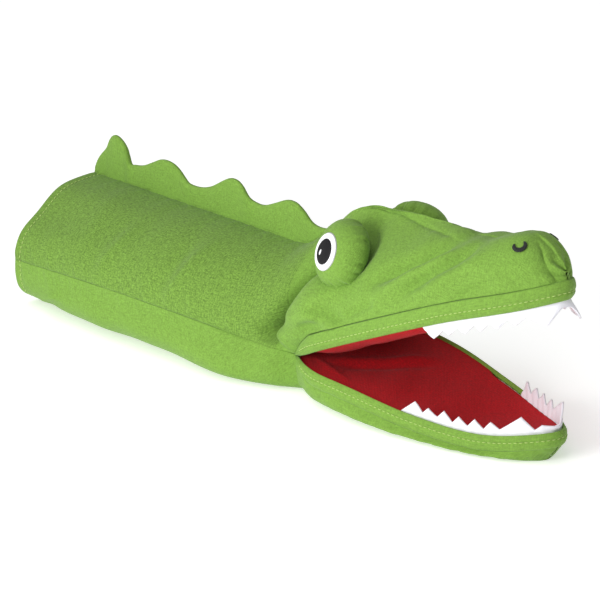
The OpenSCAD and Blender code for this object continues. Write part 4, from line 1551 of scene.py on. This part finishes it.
@dataclass
class Chin:
    """The lower jaw: its padded chin cloth and lip band.

    Attributes:
        finishes: The finishes.
        cut: The shared sizes.
    """

    finishes: Finishes
    cut: Cut = CUT

    def build(self) -> list[Piece]:
        """Returns:
            The pieces.
        """
        c, f = self.cut, self.finishes
        x = c.stations(0.0, c.jaw_l, 120)
        a = bowl_angles(110)
        points = SKIN.belly(x[:, None], a[None])
        normals = normals_of(points) * -1.0
        across = arc(points, 1)
        edges = np.minimum(across, across[:, -1:] - across)
        points = SKIN.seam_roll(points, normals, edges, 0.25)
        free = ease(points[..., 2], 0.3, 5) * ease(x, 0, 12)[:, None]
        lift = 0.5 * ripple(points[..., 0], points[..., 1], 37, 2.9) * free
        points = points + normals * lift[..., None]
        points[..., 2] = np.maximum(points[..., 2], 0.0)
        # Seam values: a little painted shade in the seam grooves, and paler rubbed wear beside them.
        seam = 0.6 * np.exp(-edges / 1.2)
        wide, uv, seam = tuck(points, normals, cloth_uv(points), seam, ALLOWANCE)
        held = np.maximum(seam, wide[..., 2] < 0.6)
        held[:, :4] = held[:, -4:] = held[:5] = held[-3:] = 1.0
        chin = Piece("chin_cloth", Slot.GREEN).grid(wide, uv, seam, flip=True).fill(held, 1.2)
        chin.finish(f.green, Body.LOWER, "chin_panel", "lower_jaw_pad")
        band = lip_band("lower_lip_cloth", c.jaw_l, c.lower_lip, c.lower_band_h, -1)
        band.finish(f.green, Body.LOWER, "lower_lip_band")
        band.sheet((18, 377), 0.93, "stretched", ["chin_cloth"])
        return [chin, band]


@dataclass
class Eye:
    """A stuffed drum-shaped eye with a white disc, a pupil and a glint.

    Attributes:
        finishes: The finishes.
        side: 1 for the left and -1 for the right.
        centre: Middle of its widest circle on the left side.
        turn: Turn of its axis from X, in degrees.
        tilt: Tilt of its axis from Z, in degrees.
        radius: Radius of the widest circle.
        depth: Depth outside it.
        rear: Depth inside it.
    """

    finishes: Finishes
    side: int
    centre: tuple = (29.0, 29.0, 89.5)
    turn: float = 110.0
    tilt: float = 68.0
    radius: float = 20.0
    depth: float = 14.0
    rear: float = 9.0

    def place(self, r: np.ndarray, turn: np.ndarray, out: np.ndarray) -> np.ndarray:
        """Points at a radius, a turn about the axis and a height along it."""
        t, p = math.radians(self.tilt), math.radians(self.turn)
        axis = np.array([math.sin(t) * math.cos(p), math.sin(t) * math.sin(p), math.cos(t)])
        ex = np.array([math.cos(t) * math.cos(p), math.cos(t) * math.sin(p), -math.sin(t)])
        ey = np.array([-math.sin(p), math.cos(p), 0.0])
        r, turn, out = np.broadcast_arrays(r, turn, out)
        points = (np.asarray(self.centre) + (r * np.cos(turn))[..., None] * ex
                  + (r * np.sin(turn))[..., None] * ey + out[..., None] * axis)
        return points * np.array([1, self.side, 1])

    def outline(self, s: np.ndarray) -> tuple[np.ndarray, np.ndarray]:
        """Radius and height of the outline, at s from -1 at the back over 0 where it is widest to 1."""
        a = s * math.pi / 2
        r = self.radius * np.abs(np.cos(a)) ** np.where(s > 0, 0.8, 0.5)
        return np.maximum(r, 0.02), np.where(s > 0, self.depth, self.rear) * np.sin(a)

    def face_height(self, r: np.ndarray) -> np.ndarray:
        """Height of the front at a radius."""
        c = np.clip(r / self.radius, 0, 1) ** (1 / 0.8)
        return self.depth * np.sqrt(1 - c * c)

    def cover(self) -> Piece:
        """Makes the cloth of the eye, with gathers round its rear edge and painted shade in their valleys."""
        s = np.linspace(-1, 1, 64)[:, None]
        turn = np.linspace(0, 2 * math.pi, 145)[None]
        r, out = self.outline(s)
        fold = np.sin(17 * turn + 1.3 * np.sin(3 * turn)) + 0.6 * np.sin(29 * turn + 2.0 * np.sin(2 * turn))
        gather = dome(s, -0.1, 0.34) * (0.7 + 0.5 * np.sin(turn + 0.8))
        r = r * (1 + 0.06 * fold * gather) + 0.3 * np.sin(5 * turn + 0.5) * dome(s, 0.1, 0.4)
        points = self.place(r, turn, out)
        across = np.cumsum(np.r_[0, np.hypot(np.diff(r[:, 0]), np.diff(out[:, 0]))])
        uv = np.stack([np.repeat(turn * self.radius, 64, 0), np.repeat(across[:, None], 145, 1)], axis=-1)
        # Seam values: painted shade in the valleys of the gathers, through the cotton's groove darkening.
        seam = np.clip(-fold, 0, 1) * dome(s, -0.12, 0.2)
        word = "left" if self.side > 0 else "right"
        held = np.broadcast_to((s < -0.75) | (s > 0.38), seam.shape)
        piece = Piece(f"eye_{word}", Slot.GREEN).grid(points, uv, seam, flip=self.side < 0).fill(held, 1.2)
        piece.finish(self.finishes.green, Body.UPPER, f"eye_cover_{word}", f"eye_stuffing_{word}")
        return piece

    def disc(self, name: str, slot: Slot, material: bpy.types.Material, shift: tuple[float, float],
             wide: float, long: float, low: float, high: float, *nodes: str) -> Piece:
        """A flat patch that follows the front of the eye.

        Args:
            name: Name of the object.
            slot: Its material slot.
            material: Its finish.
            shift: Its middle on the eye's face.
            wide: Its half width.
            long: Its half length.
            low: Height of its underside over the cloth.
            high: Height of its top over the cloth.
            nodes: CAD nodes that it stands for.

        Returns:
            The piece.
        """
        t = np.r_[0.9, np.linspace(1.0, 0.0, 14)][:, None]
        lift = np.r_[low, low, high - (high - low) * 0.25, np.full(12, high)][:, None]
        turn = np.linspace(0, 2 * math.pi, 73)[None]
        u = shift[0] + t * wide * np.cos(turn)
        v = shift[1] + t * long * np.sin(turn)
        r, angle = np.hypot(u, v), np.arctan2(v, u)
        points = self.place(r, angle, self.face_height(r) + lift)
        piece = Piece(name, slot).grid(points, np.stack([u, v], axis=-1), flip=self.side < 0)
        return piece.finish(material, Body.UPPER, *nodes)

    def build(self) -> list[Piece]:
        """Makes the eye.

        Returns:
            The pieces.
        """
        f, word = self.finishes, "left" if self.side > 0 else "right"
        cover = self.cover()
        white = self.disc(f"eye_white_felt_{word}", Slot.FELT, f.eye, (1.0, -2.0), 11.0, 10.8, 0.05, 0.8,
                          f"eye_white_{word}")
        pupil = self.disc(f"pupil_cloth_{word}", Slot.BLACK, f.black, (1.0, -3.2), 7.6, 7.2, 0.7, 1.25,
                          f"pupil_{word}")
        glint = self.disc(f"glint_{word}", Slot.FELT, f.eye, (2.2, -1.3), 1.7, 0.8, 1.2, 1.5)
        white.sheet((24.5, 24), 0.785, "stretched", [cover.name])
        pupil.sheet((16.8, 16), 0.785, "stretched", [white.name])
        return [cover, white, pupil, glint]


@dataclass
class Needlework:
    """Everything that is sewn on the outside: stitch rows and nostrils.

    Attributes:
        finishes: The finishes.
        cut: The shared sizes.
    """

    finishes: Finishes
    cut: Cut = CUT

    def cuff(self) -> list[Piece]:
        """The stitches that hold the hem, six millimetres inside the edge, right round the cuff."""
        x = -self.cut.sleeve_l + 6.0
        over = np.linspace(0.05, math.pi - 0.05, 160)
        under = np.linspace(0.1, math.pi - 0.1, 160)
        path = np.concatenate([SKIN.back(x, over), SKIN.belly(x, under)])
        middle = np.array([x, 0.0, 34.0])
        out = (path - middle) * np.array([0, 1, 1])
        out /= np.linalg.norm(out, axis=1, keepdims=True)
        row = stitch_row("cuff_stitches", Slot.THREAD, path - out * 0.3, out,
                         STITCH_PITCH, STITCH_LENGTH, STITCH_RADIUS)
        return [row.finish(self.finishes.pale_thread, Body.SLEEVE)]

    def lip(self, name: str, length: float, side_points: Sequence, height: float, up: float, out: float,
            body: Body) -> Piece:
        """A row of stitches along a lip band.

        Args:
            name: Name of the object.
            length: Length of the jaw.
            side_points: Side view of the lip.
            height: Height of the band, negative for one below its lip.
            up: Place of the row as a share of the band.
            out: How far the row stands outside the lip.
            body: The body that it moves with.

        Returns:
            The piece.
        """
        x, _ = round_lip(length, LIP_STATIONS)
        tall = SKIN.band_h(np.maximum(x, 0.4), abs(height)) * np.sign(height)
        path = lip_line(length, side_points, -out, tall * up)
        outer = lip_line(length, side_points, -out - 1.0, tall * up)
        normal = outer - path
        normal /= np.maximum(np.linalg.norm(normal, axis=1, keepdims=True), 1e-9)
        row = stitch_row(name, Slot.THREAD, path[4:-4], normal[4:-4],
                         STITCH_PITCH, STITCH_LENGTH, STITCH_RADIUS)
        return row.finish(self.finishes.pale_thread, body)

    def nostril(self, side: int) -> Piece:
        """A curl of satin stitch on the snout, open towards the middle, thin at both ends.

        A tube follows an arc on the head cloth. Its radius is a half circle of its length.
        """
        t = np.linspace(-1, 1, 40)
        turn = t * math.radians(128)
        x = 146.7 + 2.9 * np.sin(turn + 0.7)
        a = np.radians(57.3 - 7.0 * np.cos(turn + 0.7))
        path = SKIN.back(x, a)
        out = np.array([0.15, 0.62, 0.77])
        ahead = np.gradient(path, axis=0)
        ahead /= np.linalg.norm(ahead, axis=1, keepdims=True)
        across = np.cross(ahead, out)
        across /= np.linalg.norm(across, axis=1, keepdims=True)
        up = np.cross(across, ahead)
        thick = 1.35 * np.sqrt(1.02 - t**2)
        around = np.linspace(0, 2 * math.pi, 17)
        rib = 1 + 0.06 * np.sin(np.arange(40) * 2.1)
        cos, sin = np.cos(around)[None, :, None], np.sin(around)[None, :, None]
        points = (path[:, None] + out * 0.35 + across[:, None] * (thick * rib)[:, None, None] * cos
                  + up[:, None] * (0.45 * thick * rib)[:, None, None] * sin)
        uv = np.stack(np.broadcast_arrays((t * 9)[:, None], (around * 1.2)[None]), axis=-1)
        word = "left" if side > 0 else "right"
        piece = Piece(f"nostril_curl_{word}", Slot.THREAD)
        piece.grid(points * np.array([1, side, 1]), uv, flip=side < 0)
        return piece.finish(self.finishes.black_thread, Body.UPPER, f"nostril_{word}")

    def build(self) -> list[Piece]:
        """Makes the stitch rows and the nostrils.

        Returns:
            The pieces.
        """
        c = self.cut
        return [
            *self.cuff(),
            self.lip("upper_lip_stitches", c.head_l, c.upper_lip, c.upper_band_h, 0.36, 0.85, Body.UPPER),
            self.lip("lower_lip_stitches", c.jaw_l, c.lower_lip, -c.lower_band_h, 0.36, 0.85, Body.LOWER),
            self.nostril(1),
            self.nostril(-1),
        ]


@dataclass
class Studio:
    """Floor, lights and camera.

    Attributes:
        target: The point that the camera looks at, in metres.
        azimuth: Turn of the camera about the puppet, in degrees.
        elevation: Height of the camera above the horizon, in degrees.
        distance: Distance from the target, in metres.
    """

    target: tuple = (-0.0088, 0.0, 0.038)
    azimuth: float = 47.95
    elevation: float = 19.3
    distance: float = 1.418

    def away(self, azimuth: float, elevation: float) -> Vector:
        """Direction from the puppet at an azimuth and elevation."""
        a, e = math.radians(azimuth), math.radians(elevation)
        return Vector((math.sin(a) * math.cos(e), -math.cos(a) * math.cos(e), math.sin(e)))

    def light(self, name: str, kind: str, azimuth: float, elevation: float, wide: float, power: float,
              far: float = 1.0) -> None:
        """Adds a soft light that looks at the head.

        Args:
            name: Name of the light.
            kind: AREA or SUN.
            azimuth: Turn about the puppet, in degrees.
            elevation: Height above the horizon, in degrees.
            wide: Size of the lamp in metres, or its angle for a sun.
            power: Strength.
            far: Distance, in metres.
        """
        data = bpy.data.lights.new(name, kind)
        data.energy = power
        if kind == "AREA":
            data.shape = "DISK"
            data.size = wide
        else:
            data.angle = wide
        lamp = bpy.data.objects.new(name, data)
        back = self.away(azimuth, elevation)
        lamp.location = Vector((0.09, 0.0, 0.07)) + back * far
        lamp.rotation_euler = back.to_track_quat("Z", "Y").to_euler()
        bpy.context.scene.collection.objects.link(lamp)

    def floor(self) -> None:
        """A pale floor that glows a little, so that it looks evenly lit."""
        mesh = bpy.data.meshes.new("floor")
        reach = 6.0
        mesh.from_pydata([(-reach, -reach, 0), (reach, -reach, 0), (reach, reach, 0), (-reach, reach, 0)], [],
                         [(0, 1, 2, 3)])
        ground = bpy.data.objects.new("floor", mesh)
        bpy.context.scene.collection.objects.link(ground)
        s = Shader("floor_paper")
        place = s.wire("ShaderNodeTexCoord", "Object")
        grain = s.noise(place, 60.0, 2.0)
        s.set(Base_Color=s.mix(grain * 0.2, (0.92, 0.92, 0.92), (0.9, 0.9, 0.9)), Roughness=0.95)
        s.set(Emission_Color=(1.0, 1.0, 1.0), Emission_Strength=0.4)
        mesh.materials.append(s.material)

    def build(self) -> None:
        """Makes the floor, the lights, the sky and the camera."""
        self.floor()
        scene = bpy.context.scene
        world = bpy.data.worlds.new("studio")
        world.use_nodes = True
        sky = world.node_tree.nodes["Background"]
        sky.inputs["Color"].default_value = (1.0, 1.0, 1.0, 1.0)
        # The sky looks white to the camera, and lights the puppet with less.
        tree = world.node_tree
        path = tree.nodes.new("ShaderNodeLightPath")
        strength = tree.nodes.new("ShaderNodeMath")
        strength.operation = "MULTIPLY_ADD"
        tree.links.new(path.outputs["Is Camera Ray"], strength.inputs[0])
        strength.inputs[1].default_value, strength.inputs[2].default_value = 0.58, 0.42
        tree.links.new(strength.outputs[0], sky.inputs["Strength"])
        scene.world = world
        scene.view_settings.view_transform = "Standard"
        self.light("key", "AREA", 2, 14, 0.4, 5.2, 0.85)
        self.light("overhead", "SUN", -20, 60, math.radians(60), 0.95)
        data = bpy.data.cameras.new("camera")
        data.lens = 144.0
        data.sensor_width = 36.0
        data.clip_start, data.clip_end = 0.01, 50.0
        camera = bpy.data.objects.new("camera", data)
        back = self.away(self.azimuth, self.elevation)
        camera.location = Vector(self.target) + back * self.distance
        camera.rotation_euler = back.to_track_quat("Z", "Y").to_euler()
        scene.collection.objects.link(camera)
        scene.camera = camera


def dress_inner(finishes: Finishes) -> None:
    """Gives the CAD nodes that still show inside the puppet their finishes."""
    for name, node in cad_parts.items():
        if not node.hide_render:
            node.data.materials.clear()
            node.data.materials.append(finishes.lining)
            LOG.info("%s: CAD node kept", name)


def main() -> None:
    """Builds the puppet piece by piece, then the studio."""
    logging.basicConfig(level=logging.INFO, format="%(message)s")
    finishes = Finishes()
    pieces: list[Piece] = []
    pieces += Sleeve(finishes).build()
    pieces += Crest(finishes).build()
    pieces += Head(finishes).build()
    pieces += Chin(finishes).build()
    pieces += Mouth(finishes).build()
    for side in (1, -1):
        pieces += Eye(finishes, side).build()
    pieces += Needlework(finishes).build()
    dress_inner(finishes)
    Studio().build()
    LOG.info("%d pieces", len(pieces))


if __name__ == "__main__":
    main()
